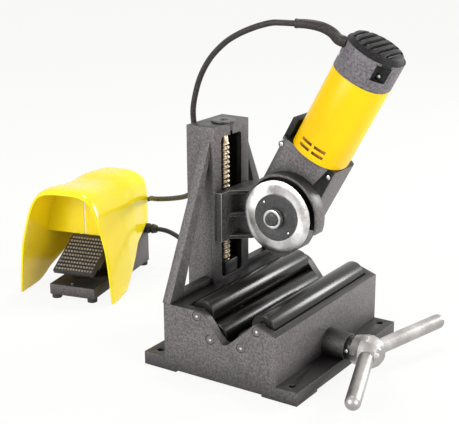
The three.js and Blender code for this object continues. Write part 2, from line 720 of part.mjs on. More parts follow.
function feed() {
  const group = new THREE.Group();
  const spindleProfile = [
    [0, SHAFT_Z + BEVEL_PITCH_RADIUS * (1 - BEVEL_FACE_SHARE) + BEVEL_TOOTH_HEIGHT],
    [JOURNAL_RADIUS, SHAFT_Z + BEVEL_PITCH_RADIUS * (1 - BEVEL_FACE_SHARE) + BEVEL_TOOTH_HEIGHT],
    [JOURNAL_RADIUS, SPINDLE_BOTTOM_Z],
    [SPINDLE_RADIUS, SPINDLE_BOTTOM_Z + SPINDLE_RADIUS - JOURNAL_RADIUS],
    [SPINDLE_RADIUS, SPINDLE_TOP_Z],
    [JOURNAL_RADIUS, SPINDLE_TOP_Z],
    [JOURNAL_RADIUS, COLUMN_TOP_Z],
    [0, COLUMN_TOP_Z],
  ];
  const spindle = piece('spindle', turned('z', spindleProfile, [0, 0], SMALL_SEGMENTS), 'brass');
  spindle.position.set(SPINDLE_X, 0, 0);
  const spindleGear = bevelGear('spindle_bevel_gear', JOURNAL_RADIUS + CLEARANCE);
  spindleGear.rotation.set(Math.PI, 0, 0);
  spindleGear.position.set(SPINDLE_X, 0, SHAFT_Z);
  const shaftGear = bevelGear('shaft_bevel_gear', SHAFT_RADIUS + CLEARANCE);
  shaftGear.rotation.set(0, -Math.PI / 2, 0);
  const phase = new THREE.Group();
  phase.rotation.x = Math.PI / BEVEL_TEETH;
  phase.position.set(SPINDLE_X, 0, SHAFT_Z);
  phase.add(shaftGear);
  const shaftEnd = HUB_CENTRE_X + HUB_RADIUS / 2;
  const shaftStart = SPINDLE_X + BEVEL_PITCH_RADIUS * (1 - BEVEL_FACE_SHARE) + BEVEL_TOOTH_HEIGHT;
  const shaft = piece('feed_shaft', rod('x', SHAFT_RADIUS, [shaftStart, shaftEnd], [0, SHAFT_Z], SMALL_SEGMENTS), 'steel');
  const bearingFoot = SLOT_BOTTOM_Z;
  const bearing = cut(
    block(
      [COLUMN_BACK_X + COLUMN_WALL + CLEARANCE, COLUMN_FRONT_X - CLEARANCE],
      [-BEARING_BLOCK_HALF_WIDTH, BEARING_BLOCK_HALF_WIDTH],
      [bearingFoot, bearingFoot + BEARING_BLOCK_HEIGHT],
    ),
    rod('z', SPINDLE_RADIUS + CLEARANCE, [bearingFoot - OVERRUN, bearingFoot + BEARING_BLOCK_HEIGHT + OVERRUN], [SPINDLE_X, 0], SMALL_SEGMENTS),
  );
  const topBush = cut(
    joined(
      rod('z', TOP_BEARING_RADIUS, [SPINDLE_TOP_Z + CLEARANCE, COLUMN_TOP_Z + TOP_BEARING_RISE], [SPINDLE_X, 0]),
      rod('z', TOP_BEARING_FLANGE, [COLUMN_TOP_Z + CLEARANCE, COLUMN_TOP_Z + TOP_BEARING_RISE], [SPINDLE_X, 0]),
    ),
    rod('z', JOURNAL_RADIUS + CLEARANCE, [SPINDLE_TOP_Z - OVERRUN, COLUMN_TOP_Z + OVERRUN], [SPINDLE_X, 0], SMALL_SEGMENTS),
  );
  group.add(spindle, spindleGear, phase, shaft);
  group.add(piece('spindle_foot_bearing', bearing, 'blackSteel'));
  group.add(piece('spindle_top_bearing', topBush, 'blackSteel'));
  group.add(handle());
  return group;
}

function leverDirection(side) {
  const flat = Math.cos(LEVER_TILT) * side;
  return new THREE.Vector3(Math.sin(LEVER_TILT), flat * Math.cos(LEVER_ROLL), flat * Math.sin(LEVER_ROLL));
}

function leverSolid(side, radius, start) {
  const direction = leverDirection(side);
  const end = LEVER_LENGTH;
  const profile = [[0, start], [radius, start], [radius, end]];
  for (let i = 1; i < LEVER_END_STEPS; i += 1) {
    const angle = (i / LEVER_END_STEPS) * Math.PI / 2;
    profile.push([radius * Math.cos(angle), end + radius * Math.sin(angle)]);
  }
  profile.push([0, end + radius]);
  const geometry = new THREE.LatheGeometry(profile.map(([r, h]) => new THREE.Vector2(r, h)), SMALL_SEGMENTS);
  geometry.applyQuaternion(new THREE.Quaternion().setFromUnitVectors(new THREE.Vector3(0, 1, 0), direction));
  geometry.translate(HUB_CENTRE_X, 0, SHAFT_Z);
  return solid(geometry);
}

function handle() {
  const group = new THREE.Group();
  const collarStart = BOSS_END_X + CLEARANCE;
  const collarEnd = collarStart + COLLAR_LENGTH;
  const collar = cut(
    rod('x', COLLAR_RADIUS, [collarStart, collarEnd], [0, SHAFT_Z]),
    rod('x', SHAFT_RADIUS + CLEARANCE, [collarStart - OVERRUN, collarEnd + OVERRUN], [0, SHAFT_Z], SMALL_SEGMENTS),
  );
  const back = collarEnd + CLEARANCE - HUB_CENTRE_X;
  const [backShare, shoulderShare] = HUB_BACK_SHARES;
  const profile = [
    [0, back],
    [HUB_RADIUS * backShare, back],
    [HUB_RADIUS * shoulderShare, back * HUB_SHOULDER_SHARE],
  ];
  for (const share of HUB_ARC_SHARES) {
    profile.push([HUB_RADIUS * Math.cos(share * HUB_NOSE), HUB_RADIUS * Math.sin(share * HUB_NOSE)]);
  }
  profile.push([0, HUB_RADIUS * Math.sin(HUB_NOSE)]);
  const ball = turned('x', profile, [0, SHAFT_Z], HUB_SEGMENTS).translate([HUB_CENTRE_X, 0, 0]);
  const shaftHole = rod('x', SHAFT_RADIUS + CLEARANCE, [collarEnd - OVERRUN, HUB_CENTRE_X + HUB_RADIUS / 2 + CLEARANCE], [0, SHAFT_Z], SMALL_SEGMENTS);
  const sockets = [-1, 1].map((side) => leverSolid(side, LEVER_RADIUS + CLEARANCE, LEVER_SEAT - CLEARANCE));
  group.add(piece('feed_collar', collar, 'blackSteel'));
  group.add(piece('handle_hub', cut(ball, shaftHole, ...sockets), 'steel'));
  group.add(piece('feed_lever_near', leverSolid(-1, LEVER_RADIUS, LEVER_SEAT), 'steel'));
  group.add(piece('feed_lever_far', leverSolid(1, LEVER_RADIUS, LEVER_SEAT), 'steel'));
  return group;
}

// Carriage
function carriage() {
  const face = COLUMN_FRONT_X + CLEARANCE;
  const plateFront = face + CARRIAGE_PLATE;
  const front = plateFront + CARRIAGE_REACH;
  const heights = [CARRIAGE_BOTTOM_Z, CARRIAGE_TOP_Z];
  const width = [-CARRIAGE_HALF_WIDTH, CARRIAGE_HALF_WIDTH];
  const nutZ = [WHEEL_Z - NUT_BLOCK_HEIGHT / 2, WHEEL_Z + NUT_BLOCK_HEIGHT / 2];
  const slotY = [-SLOT_HALF_WIDTH + CLEARANCE, SLOT_HALF_WIDTH - CLEARANCE];
  const keeperX = [COLUMN_FRONT_X - RAIL_THICKNESS - CLEARANCE - KEEPER_THICKNESS, COLUMN_FRONT_X - RAIL_THICKNESS - CLEARANCE];
  const keeperHalf = COLUMN_HALF_WIDTH - COLUMN_WALL - CLEARANCE;
  const parts = [
    block([face, plateFront], width, heights),
    block([COLUMN_BACK_X + COLUMN_WALL * 2, face + CARRIAGE_PLATE / 2], slotY, nutZ),
    block(keeperX, [-keeperHalf, keeperHalf], nutZ),
    block([plateFront - CARRIAGE_PLATE / 2, front], [GUARD_BACK_Y, GUARD_BACK_Y + CARRIAGE_RIB], heights),
    block([front - HEAD_PLATE, front], [GUARD_BACK_Y, GEARBOX_DEPTH + GUARD_BACK_Y], heights),
  ];
  for (let i = 0; i < RIB_COUNT; i += 1) {
    const share = i / (RIB_COUNT - 1);
    const z = CARRIAGE_BOTTOM_Z + (CARRIAGE_TOP_Z - CARRIAGE_BOTTOM_Z - CARRIAGE_RIB) * share;
    const ribShape = outline([
      [plateFront - CARRIAGE_PLATE / 2, -SLOT_HALF_WIDTH],
      [front - HEAD_PLATE / 2, 0],
      [front - HEAD_PLATE / 2, GEARBOX_DEPTH + GUARD_BACK_Y],
      [plateFront - CARRIAGE_PLATE / 2, CARRIAGE_HALF_WIDTH],
    ]);
    parts.push(prism('z', ribShape, [z, z + CARRIAGE_RIB]));
  }
  const nutBore = rod('z', SPINDLE_RADIUS + CLEARANCE, [0, COLUMN_TOP_Z], [SPINDLE_X, 0], SMALL_SEGMENTS);
  const guardRoom = rod('y', GUARD_RADIUS + RUNNING_GAP, [-COLUMN_HALF_WIDTH - OVERRUN, GUARD_BACK_Y], [WHEEL_X, WHEEL_Z]);
  return piece('carriage', cut(joined(...parts), nutBore, guardRoom), 'casting');
}

// Cutting head, in a frame on the wheel's axis
function gearboxOutline() {
  const shape = new THREE.Shape();
  const round = GEARBOX_LOWER_CORNER;
  shape.moveTo(-GEARBOX_REAR, MOTOR_SEAT);
  shape.lineTo(-GEARBOX_REAR, round - GEARBOX_BELOW);
  shape.quadraticCurveTo(-GEARBOX_REAR, -GEARBOX_BELOW, round - GEARBOX_REAR, -GEARBOX_BELOW);
  shape.lineTo(GEARBOX_FRONT - round, -GEARBOX_BELOW);
  shape.quadraticCurveTo(GEARBOX_FRONT, -GEARBOX_BELOW, GEARBOX_FRONT, round - GEARBOX_BELOW);
  shape.lineTo(GEARBOX_FRONT, MOTOR_SEAT);
  return shape;
}

function gearbox() {
  const depth = [GUARD_BACK_Y, GUARD_BACK_Y + GEARBOX_DEPTH];
  const seatDepth = [depth[0] - MOTOR_Y, depth[1] - MOTOR_Y];
  const plan = roundedRectangle([-GEARBOX_REAR, GEARBOX_FRONT], seatDepth, GEARBOX_CORNER);
  const upright = prism('z', plan, [-GEARBOX_BELOW - OVERRUN, MOTOR_SEAT]);
  const body = prism('y', gearboxOutline(), [seatDepth[0] - OVERRUN, seatDepth[1] + OVERRUN]).intersect(upright);
  const lugInside = -BARREL_RADIUS - CLEARANCE * 4;
  const lug = block(
    [lugInside - LUG_THICKNESS, lugInside],
    [seatDepth[0] + GEARBOX_CORNER, GEARBOX_DEPTH / 4],
    [MOTOR_SEAT - LUG_THICKNESS, MOTOR_SEAT + LUG_HEIGHT],
  );
  const lean = THREE.MathUtils.radToDeg(MOTOR_LEAN);
  const place = [MOTOR_X - WHEEL_X, MOTOR_Y, MOTOR_Z - WHEEL_Z];
  const leaning = joined(body, lug).rotate([0, lean, 0]).translate(place);
  const front = COLUMN_FRONT_X + CLEARANCE + CARRIAGE_PLATE + CARRIAGE_REACH + CLEARANCE - WHEEL_X;
  const padZ = [CARRIAGE_BOTTOM_Z - WHEEL_Z, CARRIAGE_TOP_Z - WHEEL_Z];
  const pad = block([front, 0], depth, padZ);
  const behindPad = block(
    [front - OVERRUN * 4, front],
    [depth[0] - OVERRUN, depth[1] + OVERRUN],
    [-WHEEL_Z, padZ[1] + CLEARANCE],
  );
  const chamber = rod('y', OUTPUT_RADIUS + RUNNING_GAP, [depth[0] - OVERRUN, depth[1] + OVERRUN], [0, 0], SMALL_SEGMENTS);
  return piece('gearbox_housing', cut(joined(leaning, pad), behindPad, chamber), 'casting');
}

function guard() {
  const back = GUARD_BACK_Y - CLEARANCE;
  const drum = rod('y', GUARD_RADIUS, [GUARD_FRONT_Y + WHEEL_THICKNESS, back], [0, 0]);
  const hollow = rod('y', GUARD_RADIUS - GUARD_WALL, [GUARD_FRONT_Y - OVERRUN, back - GUARD_WALL], [0, 0]);
  const core = rod('y', FLANGE_RADIUS, [GUARD_FRONT_Y + WHEEL_THICKNESS * 2, back - GUARD_WALL / 2], [0, 0]);
  const below = block([-GUARD_RADIUS - OVERRUN, GUARD_RADIUS + OVERRUN], [GUARD_FRONT_Y - OVERRUN, back + OVERRUN], [-GUARD_RADIUS - OVERRUN, -GUARD_RADIUS / 3]);
  const lowerDisc = rod('y', FLANGE_RADIUS + GUARD_WALL, [GUARD_FRONT_Y + WHEEL_THICKNESS * 2, back], [0, 0]);
  const bore = rod('y', OUTPUT_SHOULDER_RADIUS + RUNNING_GAP, [GUARD_FRONT_Y - OVERRUN, back + OVERRUN], [0, 0]);
  return piece('wheel_guard', cut(joined(cut(joined(cut(drum, hollow), core), below), lowerDisc), bore), 'casting');
}

function wheelParts() {
  const group = new THREE.Group();
  const half = WHEEL_THICKNESS / 2;
  const disc = turned('y', [
    [OUTPUT_RADIUS + CLEARANCE, WHEEL_PLANE_Y - half],
    [WHEEL_RADIUS - WHEEL_EDGE, WHEEL_PLANE_Y - half],
    [WHEEL_RADIUS, WHEEL_PLANE_Y - half / 6],
    [WHEEL_RADIUS, WHEEL_PLANE_Y + half / 6],
    [WHEEL_RADIUS - WHEEL_EDGE, WHEEL_PLANE_Y + half],
    [OUTPUT_RADIUS + CLEARANCE, WHEEL_PLANE_Y + half],
    [OUTPUT_RADIUS + CLEARANCE, WHEEL_PLANE_Y - half],
  ], [0, 0], ROUND_SEGMENTS * 2);
  const flangeY = WHEEL_PLANE_Y - half - CLEARANCE;
  let flangeDisc = cut(
    rod('y', FLANGE_RADIUS, [flangeY - FLANGE_THICKNESS, flangeY], [0, 0]),
    rod('y', OUTPUT_RADIUS + CLEARANCE, [flangeY - OVERRUN, flangeY + OVERRUN], [0, 0], SMALL_SEGMENTS),
  );
  const pinRing = (FLANGE_RADIUS + NUT_RADIUS) / 2;
  for (const angle of [Math.PI * 0.7, Math.PI * 1.7]) {
    const place = [pinRing * Math.cos(angle), pinRing * Math.sin(angle)];
    flangeDisc = cut(flangeDisc, rod('y', FLANGE_PIN_HOLE, [flangeY - OVERRUN, flangeY + OVERRUN], place, SMALL_SEGMENTS));
  }
  const nutY = flangeY - FLANGE_THICKNESS - CLEARANCE;
  const nut = cut(
    rod('y', NUT_RADIUS, [nutY - NUT_THICKNESS, nutY], [0, 0]),
    rod('y', OUTPUT_RADIUS + CLEARANCE, [nutY - OVERRUN, nutY + OVERRUN], [0, 0], SMALL_SEGMENTS),
  );
  const shoulderY = WHEEL_PLANE_Y + half + CLEARANCE;
  const shaft = turned('y', [
    [0, nutY - NUT_THICKNESS - WHEEL_THICKNESS],
    [OUTPUT_RADIUS, nutY - NUT_THICKNESS - WHEEL_THICKNESS],
    [OUTPUT_RADIUS, shoulderY],
    [OUTPUT_SHOULDER_RADIUS, shoulderY],
    [OUTPUT_SHOULDER_RADIUS, GUARD_BACK_Y - CLEARANCE * 2],
    [OUTPUT_RADIUS, GUARD_BACK_Y - CLEARANCE * 2],
    [OUTPUT_RADIUS, GUARD_BACK_Y + GEARBOX_DEPTH - COVER_THICKNESS],
    [0, GUARD_BACK_Y + GEARBOX_DEPTH - COVER_THICKNESS],
  ], [0, 0]);
  group.add(piece('cutting_wheel', disc, 'steel'));
  group.add(piece('wheel_flange', flangeDisc, 'blackSteel'));
  group.add(piece('wheel_nut', nut, 'steel'));
  group.add(piece('output_shaft', shaft, 'steel'));
  return group;
}

function rearCover() {
  const y = GUARD_BACK_Y + GEARBOX_DEPTH + CLEARANCE;
  const cover = turned('y', [
    [0, y],
    [COVER_RADIUS, y],
    [COVER_RADIUS, y + COVER_THICKNESS / 2],
    [COVER_RADIUS - COVER_THICKNESS / 2, y + COVER_THICKNESS],
    [0, y + COVER_THICKNESS],
  ], [0, 0]);
  return piece('gearbox_rear_cover', cover, 'casting');
}

// Motor, in a frame on its own axis, with its seat on the gearbox at MOTOR_SEAT
function softSquare(radius, swell) {
  const shape = new THREE.Shape();
  const count = ROUND_SEGMENTS;
  for (let i = 0; i < count; i += 1) {
    const angle = (i / count) * Math.PI * 2;
    const r = radius - swell * Math.cos(4 * angle) / 2;
    if (i === 0) shape.moveTo(r * Math.cos(angle), r * Math.sin(angle));
    else shape.lineTo(r * Math.cos(angle), r * Math.sin(angle));
  }
  return shape;
}

function motor() {
  const group = new THREE.Group();
  const start = MOTOR_SEAT + CLEARANCE;
  const end = start + BARREL_LENGTH;
  let barrel = prism('z', softSquare(BARREL_RADIUS, BARREL_SQUARENESS), [start, end]);
  for (const column of [-1, 1]) {
    for (const row of [0, 1]) {
      const z = start + VENT_PITCH * (row + 1);
      const x = column * VENT_LENGTH * VENT_OFFSET_SHARE;
      const vent = block(
        [x - VENT_LENGTH / 2, x + VENT_LENGTH / 2],
        [-BARREL_RADIUS - OVERRUN, VENT_DEPTH - BARREL_RADIUS],
        [z, z + VENT_HEIGHT],
      );
      barrel = cut(barrel, vent);
    }
  }
  const capStart = end + CLEARANCE;
  const capEnd = capStart + CAP_LENGTH;
  const capBody = prism('z', softSquare(BARREL_RADIUS + CLEARANCE, BARREL_SQUARENESS), [capStart, capEnd - CAP_DOME]);
  const [shoulderShare, shoulderDrop] = CAP_SHOULDER_SHARES;
  const dome = turned('z', [
    [0, capEnd - CAP_DOME - CLEARANCE],
    [BARREL_RADIUS - BARREL_SQUARENESS, capEnd - CAP_DOME - CLEARANCE],
    [BARREL_RADIUS - BARREL_SQUARENESS, capEnd - CAP_DOME],
    [BARREL_RADIUS * shoulderShare, capEnd - CAP_DOME * shoulderDrop],
    [BARREL_RADIUS * CAP_CROWN_SHARE, capEnd],
    [0, capEnd],
  ], [0, 0]);
  let cap = joined(capBody, dome);
  const slotPitch = (BARREL_RADIUS * CAP_SLOT_REACH_SHARE) / CAP_SLOTS;
  for (let i = 0; i < CAP_SLOTS; i += 1) {
    const x = (i - (CAP_SLOTS - 1) / 2) * slotPitch;
    const reach = Math.sqrt((BARREL_RADIUS * shoulderShare) ** 2 - x ** 2);
    cap = cut(cap, block([x - slotPitch / 4, x + slotPitch / 4], [-reach, reach], [capEnd - CAP_DOME / 2, capEnd + OVERRUN]));
  }
  const [recessIn, recessOut] = CAP_RECESS_ACROSS_SHARES;
  const [recessFoot, recessHead] = CAP_RECESS_RISE_SHARES;
  const recess = block(
    [BARREL_RADIUS * recessIn, BARREL_RADIUS * recessOut],
    [-BARREL_RADIUS * recessOut, -BARREL_RADIUS * CAP_RECESS_SIDE_SHARE],
    [capStart + CAP_LENGTH * recessFoot, capEnd - CAP_DOME * recessHead],
  );
  cap = cut(cap, recess);
  group.add(piece('motor_barrel', barrel, 'yellow'));
  group.add(piece('motor_end_cap', cap, 'darkPlastic'));
  group.position.set(MOTOR_X, MOTOR_Y, MOTOR_Z);
  group.rotation.y = MOTOR_LEAN;
  return group;
}

function head() {
  const group = new THREE.Group();
  const wheelFrame = new THREE.Group();
  wheelFrame.position.set(WHEEL_X, 0, WHEEL_Z);
  wheelFrame.add(gearbox(), guard(), rearCover(), wheelParts());
  group.add(carriage(), wheelFrame, motor());
  return group;
}

// Foot switch, in a frame at the middle of its front feet
function loft(sections) {
  const count = sections[0].length;
  const last = sections.length - 1;
  const index = [];
  for (let i = 0; i < last; i += 1) {
    for (let j = 0; j < count; j += 1) {
      const a = i * count + j;
      const b = i * count + ((j + 1) % count);
      index.push(a, b, b + count, a, b + count, a + count);
    }
  }
  for (let j = 1; j < count - 1; j += 1) {
    index.push(0, j + 1, j);
    index.push(last * count, last * count + j, last * count + j + 1);
  }
  const geometry = new THREE.BufferGeometry();
  geometry.setAttribute('position', new THREE.Float32BufferAttribute(sections.flat(2), 3));
  geometry.setIndex(index);
  const shape = solid(geometry);
  return shape.volume() > 0 ? shape : solid(flipped(geometry));
}

function hoodSection(station, wall, below) {
  const half = HOOD_HALF_WIDTH * station.half - wall;
  const foot = HOOD_HEIGHT * station.skirt;
  const rise = HOOD_HEIGHT * station.roof - wall - foot;
  const middle = HOOD_HALF_WIDTH * station.centre;
  const arch = HOOD_FRONT_ARCH_SHARES.map(([across, up], i) => {
    const [rearAcross, rearUp] = HOOD_REAR_ARCH_SHARES[i];
    const blend = (front, rear) => front + (rear - front) * station.square;
    return [half * blend(across, rearAcross), foot + rise * blend(up, rearUp)];
  });
  arch[0][1] -= below;
  const right = arch.map(([x, z]) => [middle + x, z]);
  const left = arch.map(([x, z]) => [middle - x, z]).reverse();
  return right.concat(left);
}

function hoodSolid(wall, below, ahead) {
  return loft(HOOD_STATION_SHARES.map((station) => {
    const y = HOOD_LENGTH * station.along - wall * station.along - (station.along > 0 ? 0 : ahead);
    return hoodSection(station, wall, below).map(([x, z]) => [x, y, z]);
  }));
}

function hood() {
  const full = hoodSolid(0, 0, 0);
  const room = hoodSolid(HOOD_WALL, OVERRUN, OVERRUN);
  const across = [-HOOD_HALF_WIDTH * 2, HOOD_HALF_WIDTH * 2];
  const web = block(across, [HOOD_WEB_Y, HOOD_WEB_Y + HOOD_WALL], [HOOD_WEB_Z, HOOD_HEIGHT + OVERRUN]);
  const slit = block(
    [HOOD_SLIT_X - HOOD_SLIT_WIDTH / 2, HOOD_SLIT_X + HOOD_SLIT_WIDTH / 2],
    [HOOD_WEB_Y - OVERRUN, HOOD_WEB_Y + OVERRUN],
    [0, HOOD_SLIT_TOP_Z],
  );
  const blockFront = SWITCH_FRONT + SWITCH_LENGTH - SWITCH_BLOCK_LENGTH;
  const ribs = [-HOOD_RIB_OFFSET, HOOD_RIB_OFFSET].map((x) => joined(
    block([x - HOOD_WALL / 2, x + HOOD_WALL / 2], [HOOD_WEB_Y, HOOD_LENGTH], [HOOD_WEB_Z, HOOD_RIB_TOP_Z]),
    block(
      [x - HOOD_WALL / 2, x + HOOD_WALL / 2],
      [blockFront, HOOD_LENGTH],
      [SWITCH_BLOCK_TOP_Z + CLEARANCE, HOOD_RIB_TOP_Z],
    ),
  ));
  const behindBlock = block(across, [HOOD_LENGTH, HOOD_LENGTH + OVERRUN], [0, HOOD_HEIGHT]);
  const inside = joined(cut(web, slit), ...ribs).intersect(hullOf(full));
  return piece('foot_switch_hood', cut(joined(cut(full, room), inside), behindBlock), 'yellow');
}

function hullOf(shape) {
  return shape.add(shape.translate([0, 0, -HOOD_HEIGHT])).intersect(
    block([-HOOD_HALF_WIDTH * 2, HOOD_HALF_WIDTH * 2], [0, HOOD_LENGTH], [0, HOOD_HEIGHT + OVERRUN]),
  );
}

function pedal() {
  const plate = block([-PEDAL_HALF_WIDTH, PEDAL_HALF_WIDTH], [0, PEDAL_LENGTH], [0, PEDAL_THICKNESS]);
  const ribPitch = (PEDAL_LENGTH - PEDAL_THICKNESS) / PEDAL_RIB_COUNT;
  const ribReach = PEDAL_HALF_WIDTH * PEDAL_RIB_SHARES.reach;
  const ribFloor = PEDAL_THICKNESS * PEDAL_RIB_SHARES.floor;
  let shape = plate;
  for (let i = 1; i < PEDAL_RIB_COUNT; i += 1) {
    const grooveY = [i * ribPitch, i * ribPitch + ribPitch * PEDAL_RIB_SHARES.groove];
    shape = cut(shape, block([-ribReach, ribReach], grooveY, [ribFloor, PEDAL_THICKNESS + OVERRUN]));
  }
  const wallIn = PEDAL_HALF_WIDTH - PEDAL_THICKNESS / 2;
  const skirtStart = PEDAL_LENGTH * PEDAL_SKIRT_SHARES.start;
  const skirtDepth = PEDAL_THICKNESS * PEDAL_SKIRT_SHARES.depth;
  const earStart = PEDAL_LENGTH - PEDAL_THICKNESS * 2;
  const earDepth = PEDAL_THICKNESS * PEDAL_SKIRT_SHARES.ear;
  for (const wall of [[-PEDAL_HALF_WIDTH, -wallIn], [wallIn, PEDAL_HALF_WIDTH]]) {
    const skirt = block(wall, [skirtStart, PEDAL_LENGTH], [-skirtDepth, PEDAL_THICKNESS / 2]);
    const ear = block(wall, [earStart, PEDAL_LENGTH], [-earDepth, PEDAL_THICKNESS / 2]);
    shape = joined(shape, skirt, ear);
  }
  const pinHole = rod(
    'x',
    PEDAL_PIN_RADIUS + CLEARANCE,
    [-PEDAL_HALF_WIDTH - OVERRUN, PEDAL_HALF_WIDTH + OVERRUN],
    [PEDAL_LENGTH - PEDAL_THICKNESS, -PEDAL_THICKNESS * PEDAL_PIN_DROP_SHARE],
    SMALL_SEGMENTS,
  );
  const mesh = piece('foot_pedal', cut(shape, pinHole), 'darkPlastic');
  mesh.position.set(0, PEDAL_FRONT_Y, PEDAL_FRONT_Z);
  mesh.rotation.x = PEDAL_TILT;
  return mesh;
}

function pedalPinPlace() {
  const y = PEDAL_LENGTH - PEDAL_THICKNESS;
  const z = -PEDAL_THICKNESS * PEDAL_PIN_DROP_SHARE;
  return [
    PEDAL_FRONT_Y + y * Math.cos(PEDAL_TILT) - z * Math.sin(PEDAL_TILT),
    PEDAL_FRONT_Z + y * Math.sin(PEDAL_TILT) + z * Math.cos(PEDAL_TILT),
  ];
}

function rubberFeet() {
  const group = new THREE.Group();
  const insetX = SWITCH_HALF_WIDTH - RUBBER_FOOT_INSET;
  const rows = { front: SWITCH_FRONT + RUBBER_FOOT_INSET, rear: SWITCH_FRONT + SWITCH_LENGTH - RUBBER_FOOT_INSET };
  for (const [row, y] of Object.entries(rows)) {
    for (const [side, x] of [['left', -insetX], ['right', insetX]]) {
      const foot = rod('z', RUBBER_FOOT_RADIUS, [0, SWITCH_UNDER_Z - CLEARANCE], [x, y], SMALL_SEGMENTS);
      group.add(piece(`rubber_foot_${row}_${side}`, foot, 'rubber'));
    }
  }
  return group;
}

function footSwitch() {
  const group = new THREE.Group();
  const back = SWITCH_FRONT + SWITCH_LENGTH;
  const width = [-SWITCH_HALF_WIDTH, SWITCH_HALF_WIDTH];
  const blockFront = back - SWITCH_BLOCK_LENGTH;
  const tray = block(width, [SWITCH_FRONT, back], [SWITCH_UNDER_Z, SWITCH_RIM_Z]);
  const rear = block(width, [blockFront, back], [SWITCH_UNDER_Z, SWITCH_BLOCK_TOP_Z]);
  const [pinY, pinZ] = pedalPinPlace();
  const earReach = PEDAL_THICKNESS;
  const earHalf = PEDAL_HALF_WIDTH + CLEARANCE * 2;
  const ears = [[-SWITCH_HALF_WIDTH, -earHalf], [earHalf, SWITCH_HALF_WIDTH]].map((span) => (
    block(span, [pinY - earReach, blockFront + CLEARANCE], [SWITCH_UNDER_Z, pinZ + earReach])
  ));
  const pinBore = rod(
    'x',
    PEDAL_PIN_RADIUS + CLEARANCE,
    [-SWITCH_HALF_WIDTH - OVERRUN, SWITCH_HALF_WIDTH + OVERRUN],
    [pinY, pinZ],
    SMALL_SEGMENTS,
  );
  group.add(piece('foot_switch_base', cut(joined(tray, rear, ...ears), pinBore), 'darkPlastic'));
  group.add(piece('pedal_pin', rod('x', PEDAL_PIN_RADIUS, width, [pinY, pinZ], SMALL_SEGMENTS), 'steel'));
  group.add(rubberFeet(), pedal(), hood());
  group.add(switchGland('mains_gland', 'x'), switchGland('control_gland', 'y'));
  group.position.set(SWITCH_X, SWITCH_Y, 0);
  group.rotation.z = SWITCH_YAW;
  return group;
}

function mainsGlandY() {
  return SWITCH_FRONT + SWITCH_LENGTH - MAINS_GLAND_INSET;
}

function switchGland(name, axis) {
  const side = axis === 'x' ? SWITCH_HALF_WIDTH : SWITCH_FRONT + SWITCH_LENGTH;
  const start = side + CLEARANCE;
  const profile = GLAND_PROFILE_SHARES.map(([across, along]) => [GLAND_RADIUS * across, start + GLAND_LENGTH * along]);
  profile.unshift([0, start]);
  profile.push([0, start + GLAND_LENGTH]);
  const place = axis === 'x' ? [mainsGlandY(), MAINS_GLAND_Z] : [CONTROL_GLAND_X, CONTROL_GLAND_Z];
  return piece(name, turned(axis, profile, place, SMALL_SEGMENTS), 'rubber');
}

// Leads
function motorPoint(x, y, along) {
  const point = new THREE.Vector3(x, y, along).applyAxisAngle(new THREE.Vector3(0, 1, 0), MOTOR_LEAN);
  return [point.x + MOTOR_X, point.y + MOTOR_Y, point.z + MOTOR_Z];
}

// The sleeve leaves the cap square to its surface, then follows its route
function sleeveRoute() {
  const surface = BARREL_RADIUS + BARREL_SQUARENESS;
  const start = [surface, surface + CORD_DIAMETER];
  const leaving = start.map((r) => motorPoint(r * Math.cos(SLEEVE_ANGLE), r * Math.sin(SLEEVE_ANGLE), SLEEVE_ALONG));
  return [...leaving, ...SLEEVE_ROUTE];
}

function switchPoint(x, y, z) {
  const point = new THREE.Vector3(x, y, z).applyAxisAngle(new THREE.Vector3(0, 0, 1), SWITCH_YAW);
  return [point.x + SWITCH_X, point.y + SWITCH_Y, point.z];
}

// Coil: spirals in on the lower layer, climbs in the half turn at the inside, spirals out on the upper layer
const COIL_REST_Z = CORD_DIAMETER / 2 + TIE_THICKNESS + CLEARANCE;
const COIL_OUTER_RADIUS = COIL_INNER_RADIUS + COIL_PITCH * COIL_LOOPS;

function coilPoints() {
  const points = [];
  const steps = Math.round((COIL_LOOPS * 2 + 0.5) * COIL_STEPS);
  for (let i = 0; i <= steps; i += 1) {
    const turn = i / COIL_STEPS;
    const angle = COIL_START + turn * Math.PI * 2;
    const climb = THREE.MathUtils.clamp((turn - COIL_LOOPS) * 2, 0, 1);
    const inward = Math.max(0, COIL_LOOPS - turn);
    const outward = Math.max(0, turn - COIL_LOOPS - 0.5);
    const r = COIL_INNER_RADIUS + COIL_PITCH * (inward + outward);
    points.push([COIL_X + r * Math.cos(angle), COIL_Y + r * Math.sin(angle), COIL_REST_Z + COIL_PITCH * climb]);
  }
  return points;
}

function leastGap(points, diameter, skip) {
  let least = Infinity;
  for (let i = 0; i < points.length; i += 1) {
    for (let j = i + skip; j < points.length; j += 1) {
      const gap = Math.hypot(points[i][0] - points[j][0], points[i][1] - points[j][1], points[i][2] - points[j][2]);
      least = Math.min(least, gap - diameter);
    }
  }
  return least;
}

// Two points that carry a tube's end straight on from a curve's end, in the order that they are passed
function straightEnd(curve, at, side) {
  const end = curve.getPointAt(at);
  const way = curve.getTangentAt(at).multiplyScalar(side);
  const near = end.clone().addScaledVector(way, CLEARANCE).toArray();
  const far = end.clone().addScaledVector(way, CLEARANCE + CORD_DIAMETER).toArray();
  return side > 0 ? [near, far] : [far, near];
}

function plugEntry() {
  const way = new THREE.Vector3(Math.cos(PLUG_HEADING), Math.sin(PLUG_HEADING), 0);
  const end = new THREE.Vector3(...PLUG_PLACE).addScaledVector(way, -CLEARANCE);
  return [end.clone().addScaledVector(way, -CORD_DIAMETER).toArray(), end.toArray()];
}

